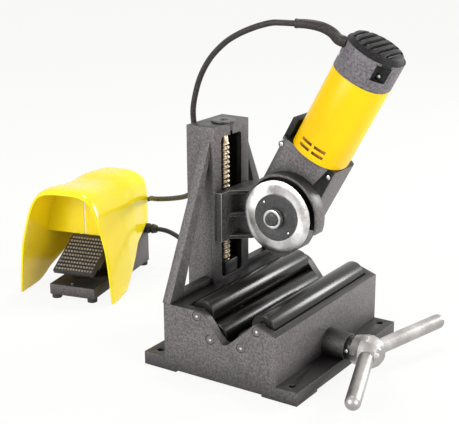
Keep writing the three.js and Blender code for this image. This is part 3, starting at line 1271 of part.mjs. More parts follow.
// Plug in a frame at its cable entry, along +X
function mainsPlug() {
  const halfWidth = PLUG_WIDTH / 2;
  const halfHeight = PLUG_HEIGHT / 2;
  const relief = PLUG_LENGTH / 2;
  const face = relief + PLUG_LENGTH;
  const [narrow, taper] = PLUG_TAPER_SHARES;
  const neck = rod(
    'x',
    CORD_DIAMETER * PLUG_NECK_SHARE,
    [0, relief + CLEARANCE],
    [0, 0],
    SMALL_SEGMENTS,
    CORD_DIAMETER,
  );
  const shell = outline([
    [relief, -halfWidth * narrow],
    [relief + PLUG_LENGTH * taper, -halfWidth],
    [face, -halfWidth],
    [face, halfWidth],
    [relief + PLUG_LENGTH * taper, halfWidth],
    [relief, halfWidth * narrow],
  ]);
  const pinY = halfWidth * PLUG_PIN_SHARE;
  const pins = [-pinY, pinY].map((y) => (
    rod('x', PLUG_PIN_RADIUS, [face - CLEARANCE, face + PLUG_PIN_LENGTH], [y, 0], SMALL_SEGMENTS)
  ));
  const mesh = piece('mains_plug', joined(neck, prism('z', shell, [-halfHeight, halfHeight]), ...pins), 'rubber');
  mesh.position.set(...PLUG_PLACE);
  mesh.rotation.z = PLUG_HEADING;
  return mesh;
}

// Strap round the coil's bundle, in a frame on the coil's axis
function coilTie() {
  const slack = CLEARANCE * 4;
  const inside = [COIL_INNER_RADIUS - CORD_DIAMETER / 2 - slack, COIL_OUTER_RADIUS + CORD_DIAMETER / 2 + slack];
  const height = [TIE_THICKNESS, COIL_REST_Z + COIL_PITCH + CORD_DIAMETER / 2 + slack];
  const half = TIE_WIDTH / 2;
  const outer = block([inside[0] - TIE_THICKNESS, inside[1] + TIE_THICKNESS], [-half, half], [0, height[1] + TIE_THICKNESS]);
  const hollow = block(inside, [-half - OVERRUN, half + OVERRUN], height);
  const mesh = piece('coil_tie', cut(outer, hollow), 'rubber');
  mesh.position.set(COIL_X, COIL_Y, 0);
  return mesh;
}

function leads() {
  const group = new THREE.Group();
  const radius = CORD_DIAMETER / 2;
  const sleeveCurve = through(sleeveRoute());
  const sleeve = taperedSleeve(sleeveCurve, SLEEVE_RADIUS, SLEEVE_TIP_RADIUS, SLEEVE_SIDES, SLEEVE_STEPS);
  const sleeveEnd = sleeveCurve.getPointAt(1);
  const sleeveWay = sleeveCurve.getTangentAt(1);
  const pastSleeve = (reach) => sleeveEnd.clone().addScaledVector(sleeveWay, reach).toArray();
  const sleeveStart = [pastSleeve(CLEARANCE), pastSleeve(CLEARANCE + CORD_DIAMETER * 2)];
  group.add(piece('cord_sleeve', solid(sleeve), 'rubber'));
  const switchBack = SWITCH_FRONT + SWITCH_LENGTH + GLAND_LENGTH + CLEARANCE * 2;
  const controlEnd = [
    switchPoint(CONTROL_GLAND_X, switchBack + CORD_DIAMETER * 2, CONTROL_GLAND_Z),
    switchPoint(CONTROL_GLAND_X, switchBack, CONTROL_GLAND_Z),
  ];
  const motorCurve = through([...sleeveStart, ...MOTOR_CORD_ROUTE, ...controlEnd]);
  group.add(piece('motor_cord', solid(tube(motorCurve, radius, CORD_SIDES, 76)), 'rubber'));
  const switchSide = SWITCH_HALF_WIDTH + GLAND_LENGTH + CLEARANCE * 2;
  const mainsStart = [
    switchPoint(switchSide, mainsGlandY(), MAINS_GLAND_Z),
    switchPoint(switchSide + CORD_DIAMETER, mainsGlandY(), MAINS_GLAND_Z),
  ];
  const coilCurve = through(coilPoints());
  const coilSteps = Math.round((COIL_LOOPS * 2 + 0.5) * COIL_STEPS);
  const coil = coilCurve.getSpacedPoints(coilSteps * 2).map((point) => point.toArray());
  const mainsCurve = through([...mainsStart, ...MAINS_LEAD_ROUTE, ...straightEnd(coilCurve, 0, -1)]);
  const tailCurve = through([...straightEnd(coilCurve, 1, 1), ...PLUG_TAIL_ROUTE, ...plugEntry()]);
  group.add(piece('mains_lead', solid(tube(mainsCurve, radius, CORD_SIDES, 30)), 'rubber'));
  group.add(piece('mains_coil', solid(tube(coilCurve, radius, COIL_SIDES, coilSteps)), 'rubber'));
  group.add(piece('plug_tail', solid(tube(tailCurve, radius, CORD_SIDES, 12)), 'rubber'));
  group.add(mainsPlug(), coilTie());
  console.log(`coil least gap to itself ${leastGap(coil, CORD_DIAMETER, COIL_STEPS).toFixed(2)} mm, length ${coilCurve.getLength().toFixed(0)} mm`);
  console.log(`motor cord length ${motorCurve.getLength().toFixed(0)} mm, mains lead length ${mainsCurve.getLength().toFixed(0)} mm`);
  return group;
}

const machine = new THREE.Group();
machine.add(baseCasting(), rollers(), column(), feed(), head(), footSwitch(), leads());

export default machine;
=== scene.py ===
"""Looks of the pipe cutting machine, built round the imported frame.

Lengths are metres in the row frame: +Z up, +X towards the operator, +Y along the pipe.
Sizes written as numbers times MM repeat the solids' own millimetres.
"""

from __future__ import annotations

import json
import logging
import math
from collections.abc import Callable, Iterator
from contextlib import contextmanager
from dataclasses import dataclass
from enum import Enum

import bmesh
import bpy
import numpy as np
from mathutils import Matrix, Vector

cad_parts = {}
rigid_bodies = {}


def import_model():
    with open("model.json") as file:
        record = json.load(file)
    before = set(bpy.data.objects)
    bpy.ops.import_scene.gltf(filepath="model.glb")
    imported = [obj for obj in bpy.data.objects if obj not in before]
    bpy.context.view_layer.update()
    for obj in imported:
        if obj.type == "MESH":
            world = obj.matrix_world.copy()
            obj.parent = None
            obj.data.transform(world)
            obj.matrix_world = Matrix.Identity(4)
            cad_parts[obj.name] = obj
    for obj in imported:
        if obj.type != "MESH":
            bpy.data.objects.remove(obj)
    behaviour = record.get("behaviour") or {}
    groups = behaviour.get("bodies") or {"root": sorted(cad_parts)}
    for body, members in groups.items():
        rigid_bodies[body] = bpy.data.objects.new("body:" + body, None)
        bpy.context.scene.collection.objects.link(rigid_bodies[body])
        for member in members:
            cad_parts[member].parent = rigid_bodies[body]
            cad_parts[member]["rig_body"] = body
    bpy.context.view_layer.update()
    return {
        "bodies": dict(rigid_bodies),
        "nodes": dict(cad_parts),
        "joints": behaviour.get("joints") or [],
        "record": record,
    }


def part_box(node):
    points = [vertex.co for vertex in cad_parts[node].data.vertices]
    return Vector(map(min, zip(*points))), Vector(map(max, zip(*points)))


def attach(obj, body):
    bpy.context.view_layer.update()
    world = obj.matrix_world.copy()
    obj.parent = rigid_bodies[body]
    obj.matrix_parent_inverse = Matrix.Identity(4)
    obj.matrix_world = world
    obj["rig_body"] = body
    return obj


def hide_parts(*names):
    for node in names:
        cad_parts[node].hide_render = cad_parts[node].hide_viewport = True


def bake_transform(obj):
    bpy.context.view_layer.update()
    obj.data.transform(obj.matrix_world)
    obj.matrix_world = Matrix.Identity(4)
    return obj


LOG = logging.getLogger("pipe_cutting_machine")
MM = 0.001
UP = np.array([0.0, 0.0, 1.0])
WELD = 2e-6  # points nearer than this become one
POLE = 1e-5  # radius that stands for a point on an axis
Colour = tuple[float, float, float]
Point = tuple[float, float, float]
Pair = tuple[float, float]


class Slot(Enum):
    """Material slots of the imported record."""

    CASTING = "casting"
    ROLLER = "roller_steel"
    BRIGHT = "bright_steel"
    HANDLE = "handle_steel"
    SPINDLE = "spindle_brass"
    BLACK = "black_steel"
    MOTOR = "motor_yellow"
    HOOD = "hood_yellow"
    PLASTIC = "dark_plastic"
    RUBBER = "cord_rubber"


class Drive(Enum):
    """Recess in a screw's head."""

    CROSS = "cross"
    HEX = "hex"


def combined(
    tree: bpy.types.NodeTree,
    operation: str,
    first: bpy.types.NodeSocket,
    second: bpy.types.NodeSocket | float,
) -> bpy.types.NodeSocket:
    """Adds a math node to a tree.

    Args:
        tree: The tree.
        operation: Name of the operation.
        first: First value.
        second: Second value, or a fixed number.

    Returns:
        The result.
    """
    node = tree.nodes.new("ShaderNodeMath")
    node.operation = operation
    tree.links.new(first, node.inputs[0])
    if isinstance(second, float):
        node.inputs[1].default_value = second
    else:
        tree.links.new(second, node.inputs[1])
    return node.outputs[0]


def mixed(tree: bpy.types.NodeTree, *sources: bpy.types.NodeSocket) -> bpy.types.NodeSocket:
    """Adds a mix of two shaders to a tree.

    Args:
        tree: The tree.
        sources: Share of the second shader, the first shader and the second.

    Returns:
        The mix.
    """
    node = tree.nodes.new("ShaderNodeMixShader")
    for socket, source in zip(node.inputs, sources):
        tree.links.new(source, socket)
    return node.outputs[0]


class Graph:
    """Node tree of one material, with short calls for the nodes that the finishes share.

    Attributes:
        TONE_ENDS: Noise values where the tone is all dark and all light.
        GLOSS_ENDS: Noise values where the roughness is lowest and highest.
        OPEN_ENDS: Openness of a deep corner and of a free face.
        LEVEL_ENDS: Upward share of the normal where the painted shade of upper faces starts and is
            whole.
        SHADE_SAMPLES: Rays that look for a neighbouring wall, for the painted shade in corners.
    """

    TONE_ENDS = (0.35, 0.65)
    GLOSS_ENDS = (0.3, 0.7)
    OPEN_ENDS = (0.35, 0.85)
    LEVEL_ENDS = (0.5, 0.95)
    SHADE_SAMPLES = 8

    def __init__(self, name: str) -> None:
        """Starts a material with only its output and a principled shader.

        Args:
            name: The material's name.
        """
        self.material = bpy.data.materials.new(name)
        self.material.use_nodes = True
        self.tree = self.material.node_tree
        self.tree.nodes.clear()
        self.output = self.tree.nodes.new("ShaderNodeOutputMaterial")
        self.shader = self.tree.nodes.new("ShaderNodeBsdfPrincipled")
        self.tree.links.new(self.shader.outputs["BSDF"], self.output.inputs["Surface"])
        self.coordinates = self.tree.nodes.new("ShaderNodeTexCoord")

    def noise(self, size: float, detail: float, stretch: Point) -> bpy.types.NodeSocket:
        """Adds a noise whose features are about `size` metres.

        Args:
            size: Width of a feature.
            detail: Octaves of finer noise.
            stretch: How many times longer the features are along X, Y and Z.

        Returns:
            The noise's value.
        """
        mapping = self.tree.nodes.new("ShaderNodeMapping")
        mapping.inputs["Scale"].default_value = [1 / s for s in stretch]
        noise = self.tree.nodes.new("ShaderNodeTexNoise")
        noise.inputs["Scale"].default_value = 1 / size
        noise.inputs["Detail"].default_value = detail
        self.tree.links.new(self.coordinates.outputs["Object"], mapping.inputs["Vector"])
        self.tree.links.new(mapping.outputs["Vector"], noise.inputs["Vector"])
        return noise.outputs["Fac"]

    def tones(self, source: bpy.types.NodeSocket, dark: Colour, light: Colour) -> None:
        """Colours the shader between two tones.

        Args:
            source: The value that picks the tone.
            dark: Colour where the value is low.
            light: Colour where the value is high.
        """
        ramp = self.tree.nodes.new("ShaderNodeValToRGB")
        for stop, place, tone in zip(ramp.color_ramp.elements, self.TONE_ENDS, (dark, light)):
            stop.position = place
            stop.color = (*tone, 1)
        self.tree.links.new(source, ramp.inputs["Fac"])
        self.tree.links.new(ramp.outputs["Color"], self.shader.inputs["Base Color"])

    def ranged(
        self, source: bpy.types.NodeSocket, ends: Pair, result: Pair
    ) -> bpy.types.NodeSocket:
        """Maps a value from one range to another, and holds it at the ends.

        Args:
            source: The value.
            ends: Where the range starts and ends.
            result: What comes out there.

        Returns:
            The mapped value.
        """
        node = self.tree.nodes.new("ShaderNodeMapRange")
        for socket, value in zip(("From Min", "From Max", "To Min", "To Max"), (*ends, *result)):
            node.inputs[socket].default_value = value
        self.tree.links.new(source, node.inputs["Value"])
        return node.outputs["Result"]

    def corner_and_top_shade(self, reach: float, corners: float, upper: float) -> None:
        """Darkens the tone as painted shade, in corners and on faces that look up.

        Args:
            reach: How far a neighbouring wall still counts, in metres.
            corners: Share of the tone that stays deep in a corner.
            upper: Share of the tone that stays on a face that looks straight up.
        """
        # Painted shade: ambient occlusion darkens corners, and the upward normal darkens top faces.
        hidden = self.tree.nodes.new("ShaderNodeAmbientOcclusion")
        hidden.samples = self.SHADE_SAMPLES
        hidden.inputs["Distance"].default_value = reach
        normal = self.tree.nodes.new("ShaderNodeSeparateXYZ")
        self.tree.links.new(self.coordinates.outputs["Normal"], normal.inputs["Vector"])
        in_corner = self.ranged(hidden.outputs["AO"], self.OPEN_ENDS, (corners, 1))
        on_top = self.ranged(normal.outputs["Z"], self.LEVEL_ENDS, (1, upper))
        scale = self.tree.nodes.new("ShaderNodeVectorMath")
        scale.operation = "SCALE"
        tone = self.shader.inputs["Base Color"].links[0].from_socket
        self.tree.links.new(tone, scale.inputs[0])
        left = combined(self.tree, "MULTIPLY", in_corner, on_top)
        self.tree.links.new(left, scale.inputs["Scale"])
        self.tree.links.new(scale.outputs[0], self.shader.inputs["Base Color"])

    def gloss(self, source: bpy.types.NodeSocket, ends: Pair) -> None:
        """Varies the roughness with a value.

        Args:
            source: The value.
            ends: Lowest and highest roughness.
        """
        value = self.ranged(source, self.GLOSS_ENDS, ends)
        self.tree.links.new(value, self.shader.inputs["Roughness"])

    def relief(self, source: bpy.types.NodeSocket, height: float) -> None:
        """Adds relief of a real height to the shader's normal.

        Args:
            source: Height as a share.
            height: Metres between share 0 and share 1.
        """
        bump = self.tree.nodes.new("ShaderNodeBump")
        bump.inputs["Distance"].default_value = height
        bump.inputs["Strength"].default_value = 1.0
        self.tree.links.new(source, bump.inputs["Height"])
        self.tree.links.new(bump.outputs["Normal"], self.shader.inputs["Normal"])


@dataclass(frozen=True)
class Finish:
    """A surface with two tones in soft patches, uneven gloss and a fine grain.

    Attributes:
        slot: Slot of the record that it stands for.
        dark: Darker tone, linear.
        light: Lighter tone, linear.
        gloss: Lowest and highest roughness.
        patch: Width of the tone's patches, in metres.
        grain: Width of the grain, in metres.
        depth: Height of the grain, in metres.
        metallic: Share of metal.
        stretch: How many times longer the grain is along X, Y and Z.
        specular: Strength of the plain reflection, 0.5 for most paints.
        corner_and_top_shade: Reach in metres, and shares of the tone left in corners and on upper
            faces, as painted shade, or empty.
        brushed: How far the gloss is drawn out round the piece's Y axis.
        bleed: Share of the light that spreads under the surface.
        label: Short name that tells finishes on one slot apart.
    """

    slot: Slot
    dark: Colour
    light: Colour
    gloss: Pair
    patch: float
    grain: float
    depth: float
    metallic: float = 0.0
    stretch: Point = (1, 1, 1)
    specular: float = 0.5
    corner_and_top_shade: tuple[float, ...] = ()
    brushed: float = 0.0
    bleed: float = 0.0
    label: str = "main"

    def material(self) -> bpy.types.Material:
        """Returns the finish's material, made at its first use."""
        name = f"{self.slot.value}_{self.label}"
        made = bpy.data.materials.get(name)
        if made is not None:
            return made
        graph = Graph(name)
        patches = graph.noise(self.patch, 3.0, self.stretch)
        grain = graph.noise(self.grain, 2.0, self.stretch)
        graph.tones(patches, self.dark, self.light)
        graph.gloss(patches, self.gloss)
        graph.relief(grain, self.depth)
        inputs = graph.shader.inputs
        # Painted shade in corners and on upper faces.
        if self.corner_and_top_shade:
            graph.corner_and_top_shade(*self.corner_and_top_shade)
        if self.brushed:
            tangent = graph.tree.nodes.new("ShaderNodeTangent")
            tangent.direction_type = "RADIAL"
            tangent.axis = "Y"
            graph.tree.links.new(tangent.outputs["Tangent"], inputs["Tangent"])
            inputs["Anisotropic"].default_value = self.brushed
        if self.bleed:
            inputs["Subsurface Weight"].default_value = self.bleed
            inputs["Subsurface Scale"].default_value = 0.004
            inputs["Subsurface Radius"].default_value = (1.0, 0.8, 0.2)
        inputs["Specular IOR Level"].default_value = self.specular
        inputs["Metallic"].default_value = self.metallic
        return graph.material


def grey(value: float) -> Colour:
    """Returns a neutral linear tone."""
    return (value, value, value)


# Cast paint, with painted shade in its corners and on its upper faces.
CAST_PAINT = Finish(
    Slot.CASTING, (0.078, 0.07, 0.07), (0.165, 0.151, 0.152), (0.34, 0.46), 0.0024, 0.0012, 0.00007,
    specular=0.3, corner_and_top_shade=(0.07, 0.1, 0.22),
)  # fmt: skip
# Lighter, glossier grey for rounded edges: a painted highlight.
CAST_EDGE_HIGHLIGHT = Finish(
    Slot.CASTING, grey(0.22), grey(0.36), (0.3, 0.4), 0.004, 0.0011, 0.00003, 0.1, label="edge"
)
# Near black: painted shade in the gearbox's hollow; also the lug beside the barrel and the screws'
# seats.
CAST_DARK = Finish(
    Slot.CASTING, grey(0.006), grey(0.013), (0.34, 0.46), 0.0024, 0.0012, 0.00005,
    specular=0.2, label="dark",
)  # fmt: skip
# Darker cast paint that stands in for shade: painted shade over the whole carriage.
CAST_PAINTED_SHADE = Finish(
    Slot.CASTING, (0.032, 0.028, 0.028), (0.07, 0.064, 0.064), (0.34, 0.46), 0.0024, 0.0012,
    0.00006, specular=0.25, label="shade",
)  # fmt: skip
ROLLER_STEEL = Finish(
    Slot.ROLLER, (0.007, 0.006, 0.005), (0.009, 0.008, 0.007), (0.265, 0.28), 0.03, 0.0008,
    0.000001, stretch=(1, 8, 1), specular=0.32,
)  # fmt: skip
BRIGHT_STEEL = Finish(
    Slot.BRIGHT, grey(0.5), grey(0.75), (0.22, 0.34), 0.008, 0.0006, 0.000006, 1.0
)
AXLE_DULL = Finish(
    Slot.BRIGHT, (0.09, 0.08, 0.078), (0.15, 0.138, 0.134), (0.34, 0.46), 0.0024, 0.0012, 0.00004,
    label="dull",
)  # fmt: skip
WHEEL_STEEL = Finish(
    Slot.BRIGHT, (0.42, 0.4, 0.39), (0.9, 0.89, 0.88), (0.24, 0.4), 0.02, 0.0009, 0.000006, 1.0,
    brushed=0.75, label="wheel",
)  # fmt: skip
HANDLE_STEEL = Finish(
    Slot.HANDLE, (0.36, 0.345, 0.335), (0.47, 0.455, 0.445), (0.38, 0.46), 0.02, 0.0012,
    0.00003, 1.0,
)  # fmt: skip
SPINDLE_BRASS = Finish(
    Slot.SPINDLE, (0.4, 0.33, 0.23), (0.62, 0.53, 0.39), (0.3, 0.34), 0.004, 0.0005, 0.000003, 1.0
)
BLACK_STEEL = Finish(Slot.BLACK, grey(0.012), grey(0.022), (0.26, 0.38), 0.01, 0.0006, 0.00001, 0.2)
FLANGE_STEEL = Finish(
    Slot.BLACK, grey(0.025), grey(0.055), (0.3, 0.42), 0.0022, 0.0008, 0.00003, label="flange"
)
MOTOR_YELLOW = Finish(
    Slot.MOTOR, (0.86, 0.53, 0.0), (0.89, 0.555, 0.0), (0.28, 0.36), 0.04, 0.0016, 0.00001,
    specular=0.22, bleed=0.25,
)  # fmt: skip
# Darker orange inside the motor's vents: painted shade.
VENT_SHADE = Finish(
    Slot.MOTOR, (0.2, 0.075, 0.004), (0.36, 0.15, 0.006), (0.4, 0.5), 0.004, 0.0016, 0.00001,
    label="vent",
)  # fmt: skip
HOOD_YELLOW = Finish(
    Slot.HOOD, (0.93, 0.72, 0.0), (0.96, 0.75, 0.0), (0.18, 0.22), 0.06, 0.003, 0.000004, bleed=0.4
)
# A pale strip behind the hood's slit: a painted highlight.
SLIT_HIGHLIGHT = Finish(
    Slot.HOOD, (0.85, 0.8, 0.72), (0.9, 0.85, 0.78), (0.4, 0.5), 0.01, 0.003, 0.00001, label="slit"
)
# Dark plastic, with painted shade in its corners and on its upper faces.
DARK_PLASTIC = Finish(
    Slot.PLASTIC, (0.075, 0.066, 0.065), (0.135, 0.122, 0.12), (0.42, 0.55), 0.0024, 0.0011,
    0.00006, specular=0.3, corner_and_top_shade=(0.03, 0.2, 0.3),
)  # fmt: skip
PEDAL_DARK = Finish(
    Slot.PLASTIC, (0.016, 0.014, 0.013), (0.035, 0.031, 0.03), (0.45, 0.6), 0.0024, 0.0011, 0.00004,
    label="pedal",
)  # fmt: skip
STUD_GREY = Finish(
    Slot.PLASTIC, (0.22, 0.2, 0.19), (0.4, 0.37, 0.35), (0.4, 0.55), 0.003, 0.0011, 0.00002,
    label="stud",
)  # fmt: skip
# Grey collar of the end cap, with painted shade in its corners and on its upper faces.
CAP_GREY = Finish(
    Slot.PLASTIC, (0.085, 0.076, 0.082), (0.19, 0.175, 0.186), (0.42, 0.55), 0.0026, 0.0011,
    0.00006, specular=0.3, corner_and_top_shade=(0.02, 0.3, 0.8), label="collar",
)  # fmt: skip
CAP_BLACK = Finish(
    Slot.PLASTIC, grey(0.007), grey(0.018), (0.4, 0.52), 0.0024, 0.0011, 0.00005,
    specular=0.2, label="dome",
)  # fmt: skip
CORD_RUBBER = Finish(
    Slot.RUBBER, (0.018, 0.016, 0.015), (0.042, 0.037, 0.035), (0.42, 0.55), 0.0022, 0.0008,
    0.00002, specular=0.3,
)  # fmt: skip


@dataclass(frozen=True)
class Placing:
    """A frame of its own, turned about one axis and set down at a point.

    Attributes:
        origin: Its origin in the outer frame.
        axis: Number of the axis that it is turned about.
        angle: The turn, in radians.
    """

    origin: Point
    axis: int
    angle: float

    def rotation(self) -> np.ndarray:
        """Returns the 3x3 matrix of the turn."""
        first, second = (self.axis + 1) % 3, (self.axis + 2) % 3
        turn = np.eye(3)
        turn[first, first] = turn[second, second] = math.cos(self.angle)
        turn[second, first] = math.sin(self.angle)
        turn[first, second] = -math.sin(self.angle)
        return turn

    def out(self, points: np.ndarray) -> np.ndarray:
        """Carries points from this frame to the outer one."""
        return points @ self.rotation().T + np.array(self.origin)

    def back(self, points: np.ndarray) -> np.ndarray:
        """Carries points from the outer frame to this one."""
        return (points - np.array(self.origin)) @ self.rotation()

    def turn(self, way: Point) -> Point:
        """Turns a direction of this frame into the outer one."""
        return tuple((self.rotation() @ np.array(way, float)).tolist())


LEANING = Placing((4.4 * MM, 30 * MM, 173.8 * MM), 1, math.radians(28.5))  # Z up the motor's axis
SWITCH = Placing((-318.5 * MM, -10.5 * MM, 0.0), 2, math.radians(13))  # foot switch, Y to its rear
PEDAL = Placing((0.0, 2.5 * MM, 35.3 * MM), 0, math.radians(29))  # in SWITCH, Y up the slope


@dataclass
class Shell:
    """Vertices and faces of one or more closed surfaces.

    Attributes:
        vertices: One row per vertex.
        faces: Vertex numbers of each face.
        tints: Material number of each face, or empty for all first.
    """

    vertices: np.ndarray
    faces: list[tuple[int, ...]]
    tints: tuple[int, ...] = ()

    def moved(self, frame: Placing) -> Shell:
        """Returns the shell carried out of a frame."""
        return Shell(frame.out(self.vertices), self.faces, self.tints)

    @staticmethod
    def joined(shells: list[Shell]) -> Shell:
        """Returns several shells as one.

        Args:
            shells: The shells, in any number.

        Returns:
            One shell that holds them all.
        """
        starts = np.cumsum([0] + [len(s.vertices) for s in shells])
        pairs = zip(shells, starts)
        faces = [tuple(i + start for i in face) for s, start in pairs for face in s.faces]
        tints = tuple(t for s in shells for t in (s.tints or [0] * len(s.faces)))
        return Shell(np.concatenate([s.vertices for s in shells]), faces, tints)


def net(points: np.ndarray, closed: bool = True) -> Shell:
    """Joins a grid of points with quads.

    Args:
        points: Rows along, columns across, three coordinates.
        closed: Whether the last column joins the first, and both end rows get a face each.

    Returns:
        The surface.
    """
    rows, columns = points.shape[:2]
    number = np.arange(rows * columns).reshape(rows, columns)
    following = np.roll(number, -1, axis=1)
    last = None if closed else -1
    corners = (number[:-1], following[:-1], following[1:], number[1:])
    quads = np.stack([corner[:, :last] for corner in corners], axis=-1).reshape(-1, 4)
    faces = [tuple(q) for q in quads.tolist()]
    if closed:
        faces += [tuple(number[0, ::-1].tolist()), tuple(number[-1].tolist())]
    return Shell(points.reshape(-1, 3), faces)


def frame_along(axis: np.ndarray) -> np.ndarray:
    """Returns two unit vectors square to an axis, and the unit axis, as rows."""
    w = axis / np.linalg.norm(axis)
    helper = UP if abs(w[2]) < 0.9 else np.array([1.0, 0.0, 0.0])
    u = np.cross(helper, w)
    u /= np.linalg.norm(u)
    return np.stack([u, np.cross(w, u), w])


def round_angles(count: int) -> np.ndarray:
    """Returns evenly spaced angles round a circle."""
    return np.arange(count) / count * 2 * math.pi


def turned(profile: list[Pair], centre: Point, axis: Point, segments: int) -> Shell:
    """Turns a profile: a point is centre + along * w + radius * (cos a * u + sin a * v).

    Args:
        profile: Radius and distance along the axis, from end to end.
        centre: Where distance 0 lies.
        axis: Direction of the axis.
        segments: Points round the axis.

    Returns:
        A closed surface.
    """
    radius, along = np.array(profile).T
    angle = round_angles(segments)
    u, v, w = frame_along(np.array(axis, float))
    ring = np.cos(angle)[:, None] * u + np.sin(angle)[:, None] * v
    reach = np.maximum(radius, POLE)[:, None, None]
    return net(np.array(centre) + along[:, None, None] * w + reach * ring)


def seat(centre: Point, axis: Point, radius: float, foot: float, top: float) -> Shell:
    """Makes the small disc under a screw's head.

    Args:
        centre: Middle of the seat, on the surface.
        axis: Direction out of the surface.
        radius: Radius of the disc.
        foot: Where it starts along the axis.
        top: Where it ends.

    Returns:
        A closed surface.
    """
    return turned([(0, foot), (radius, foot), (radius, top), (0, top)], centre, axis, 32)


def screw_head(centre: Point, axis: Point, radius: float, height: float, drive: Drive) -> Shell:
    """Makes a low round head, whose height falls off with the square of the distance.

    Inside the drive's recess the height drops by 60%.

    Args:
        centre: Middle of the seat.
        axis: Direction out of the seat.
        radius: Radius of the head.
        height: Height at the middle.
        drive: Pattern of the recess.

    Returns:
        A closed surface.
    """
    share = np.array([1.0, 1.0, 0.93, 0.8, 0.66, 0.56, 0.52, 0.4, 0.2, 0.02])
    angle = round_angles(48)
    x, y = share[:, None] * np.cos(angle), share[:, None] * np.sin(angle)
    rise = height * (1 - 0.45 * share[:, None] ** 2) * np.ones_like(x)
    rise[0] = 0
    if drive is Drive.CROSS:
        inside = (np.minimum(np.abs(x), np.abs(y)) < 0.12) & (np.hypot(x, y) < 0.6)
    else:
        inside = np.hypot(x, y) < 0.5
    inside[:2] = False
    rise = np.where(inside, rise * 0.4, rise)
    u, v, w = frame_along(np.array(axis, float))
    across = x[..., None] * u + y[..., None] * v
    return net(np.array(centre) + radius * across + rise[..., None] * w)


def smooth_path(points: np.ndarray, step: float) -> np.ndarray:
    """Passes a centripetal Catmull-Rom curve through points and returns it evenly spaced.

    Each span is a cubic. Its end slopes come from the square roots of the gaps between the points.

    Args:
        points: The route, one row per point.
        step: Distance between the returned points.

    Returns:
        Points along the curve.
    """
    ends = np.concatenate([[2 * points[0] - points[1]], points, [2 * points[-1] - points[-2]]])
    p0, p1, p2, p3 = ends[:-3], ends[1:-2], ends[2:-1], ends[3:]
    spans = ((p0, p1), (p1, p2), (p2, p3))
    gap = [np.maximum(np.linalg.norm(b - a, axis=1), 1e-9)[:, None] ** 0.5 for a, b in spans]
    before, here, after = (p1 - p0) / gap[0], (p2 - p1) / gap[1], (p3 - p2) / gap[2]
    slope_in = (before - (p2 - p0) / (gap[0] + gap[1]) + here) * gap[1]
    slope_out = (here - (p3 - p1) / (gap[1] + gap[2]) + after) * gap[1]
    t = (np.arange(24) / 24)[None, :, None]
    a, b, m, n = (q[:, None, :] for q in (p1, p2, slope_in, slope_out))
    curve = a + m * t + (3 * (b - a) - 2 * m - n) * t**2 + (2 * (a - b) + m + n) * t**3
    curve = np.concatenate([curve.reshape(-1, points.shape[1]), points[-1:]])
    lengths = np.concatenate([[0], np.cumsum(np.linalg.norm(np.diff(curve, axis=0), axis=1))])
    wanted = np.linspace(0, lengths[-1], max(int(lengths[-1] / step), 2) + 1)
    return np.stack([np.interp(wanted, lengths, line) for line in curve.T], axis=1)


def sleeve(path: np.ndarray, radius: np.ndarray | float, sides: int = 14) -> Shell:
    """Carries a circle along a path, square to it: path + radius * (cos a * u + sin a * v).

    The side vector u is the path's direction crossed with a fixed direction that it stays clear of.

    Args:
        path: Points along the middle.
        radius: One radius, or one for each point.
        sides: Points round the circle.

    Returns:
        A closed tube.
    """
    way = np.gradient(path, axis=0)
    way /= np.linalg.norm(way, axis=1)[:, None]
    helpers = np.array([[0, 0, 1], [1, 0, 0], [0, 1, 0], [0.3, 0.9, -0.3], [0.9, -0.3, 0.3]], float)
    helpers /= np.linalg.norm(helpers, axis=1)[:, None]
    helper = helpers[np.argmin(np.abs(way @ helpers.T).max(axis=0))]
    u = np.cross(way, helper)
    u /= np.linalg.norm(u, axis=1)[:, None]
    v = np.cross(way, u)
    angle = round_angles(sides)
    ring = np.cos(angle)[None, :, None] * u[:, None] + np.sin(angle)[None, :, None] * v[:, None]
    return net(path[:, None] + np.broadcast_to(radius, len(path))[:, None, None] * ring)


def slab(outline: np.ndarray, near: float, far: float) -> Shell:
    """Makes a prism from an outline in X and Z between two planes square to Y.

    Args:
        outline: Its corners, one row each.
        near: Y of the first plane.
        far: Y of the second plane.

    Returns:
        A closed surface.
    """
    return net(np.stack([np.insert(outline, 1, y, axis=1) for y in (near, far)]))


def oblong(left: float, right: float, foot: float, top: float) -> np.ndarray:
    """Returns the corners of an upright oblong."""
    return np.array([[left, foot], [right, foot], [right, top], [left, top]])


def boxes(centres: np.ndarray, half: np.ndarray, taper: float) -> Shell:
    """Makes many small blocks whose tops are narrower by the taper: centre + corner * half.

    Args:
        centres: Middles, one row each.
        half: Half sizes along X, Y and Z, one row for all or one each.
        taper: Width of the top as a share of the foot's.

    Returns:
        Closed surfaces.
    """
    ring = np.array([[-1, -1], [1, -1], [1, 1], [-1, 1]], float)
    foot, top = np.insert(ring, 2, -1, axis=1), np.insert(ring * taper, 2, 1, axis=1)
    corners = np.concatenate([foot, top])
    points = centres[:, None] + corners[None] * np.broadcast_to(half, centres.shape)[:, None]
    sides = [(0, 3, 2, 1), (4, 5, 6, 7), (0, 1, 5, 4), (1, 2, 6, 5), (2, 3, 7, 6), (3, 0, 4, 7)]
    faces = [tuple(8 * n + i for i in side) for n in range(len(centres)) for side in sides]
    return Shell(points.reshape(-1, 3), faces)


def stand(name: str, data: bpy.types.ID) -> bpy.types.Object:
    """Returns a new object in the scene with some data."""
    made = bpy.data.objects.new(name, data)
    bpy.context.scene.collection.objects.link(made)
    return made


@contextmanager
def opened(mesh: bpy.types.Mesh) -> Iterator[bmesh.types.BMesh]:
    """Opens a mesh for editing, and writes it back.

    Args:
        mesh: The mesh.

    Yields:
        What can be edited.
    """
    work = bmesh.new()
    work.from_mesh(mesh)
    yield work
    work.to_mesh(mesh)
    work.free()


@dataclass(frozen=True)
class Faces:
    """Middles and normals of a mesh's faces, one row each."""

    middles: np.ndarray
    normals: np.ndarray


Zone = tuple[Finish, Callable[[Faces], np.ndarray]]


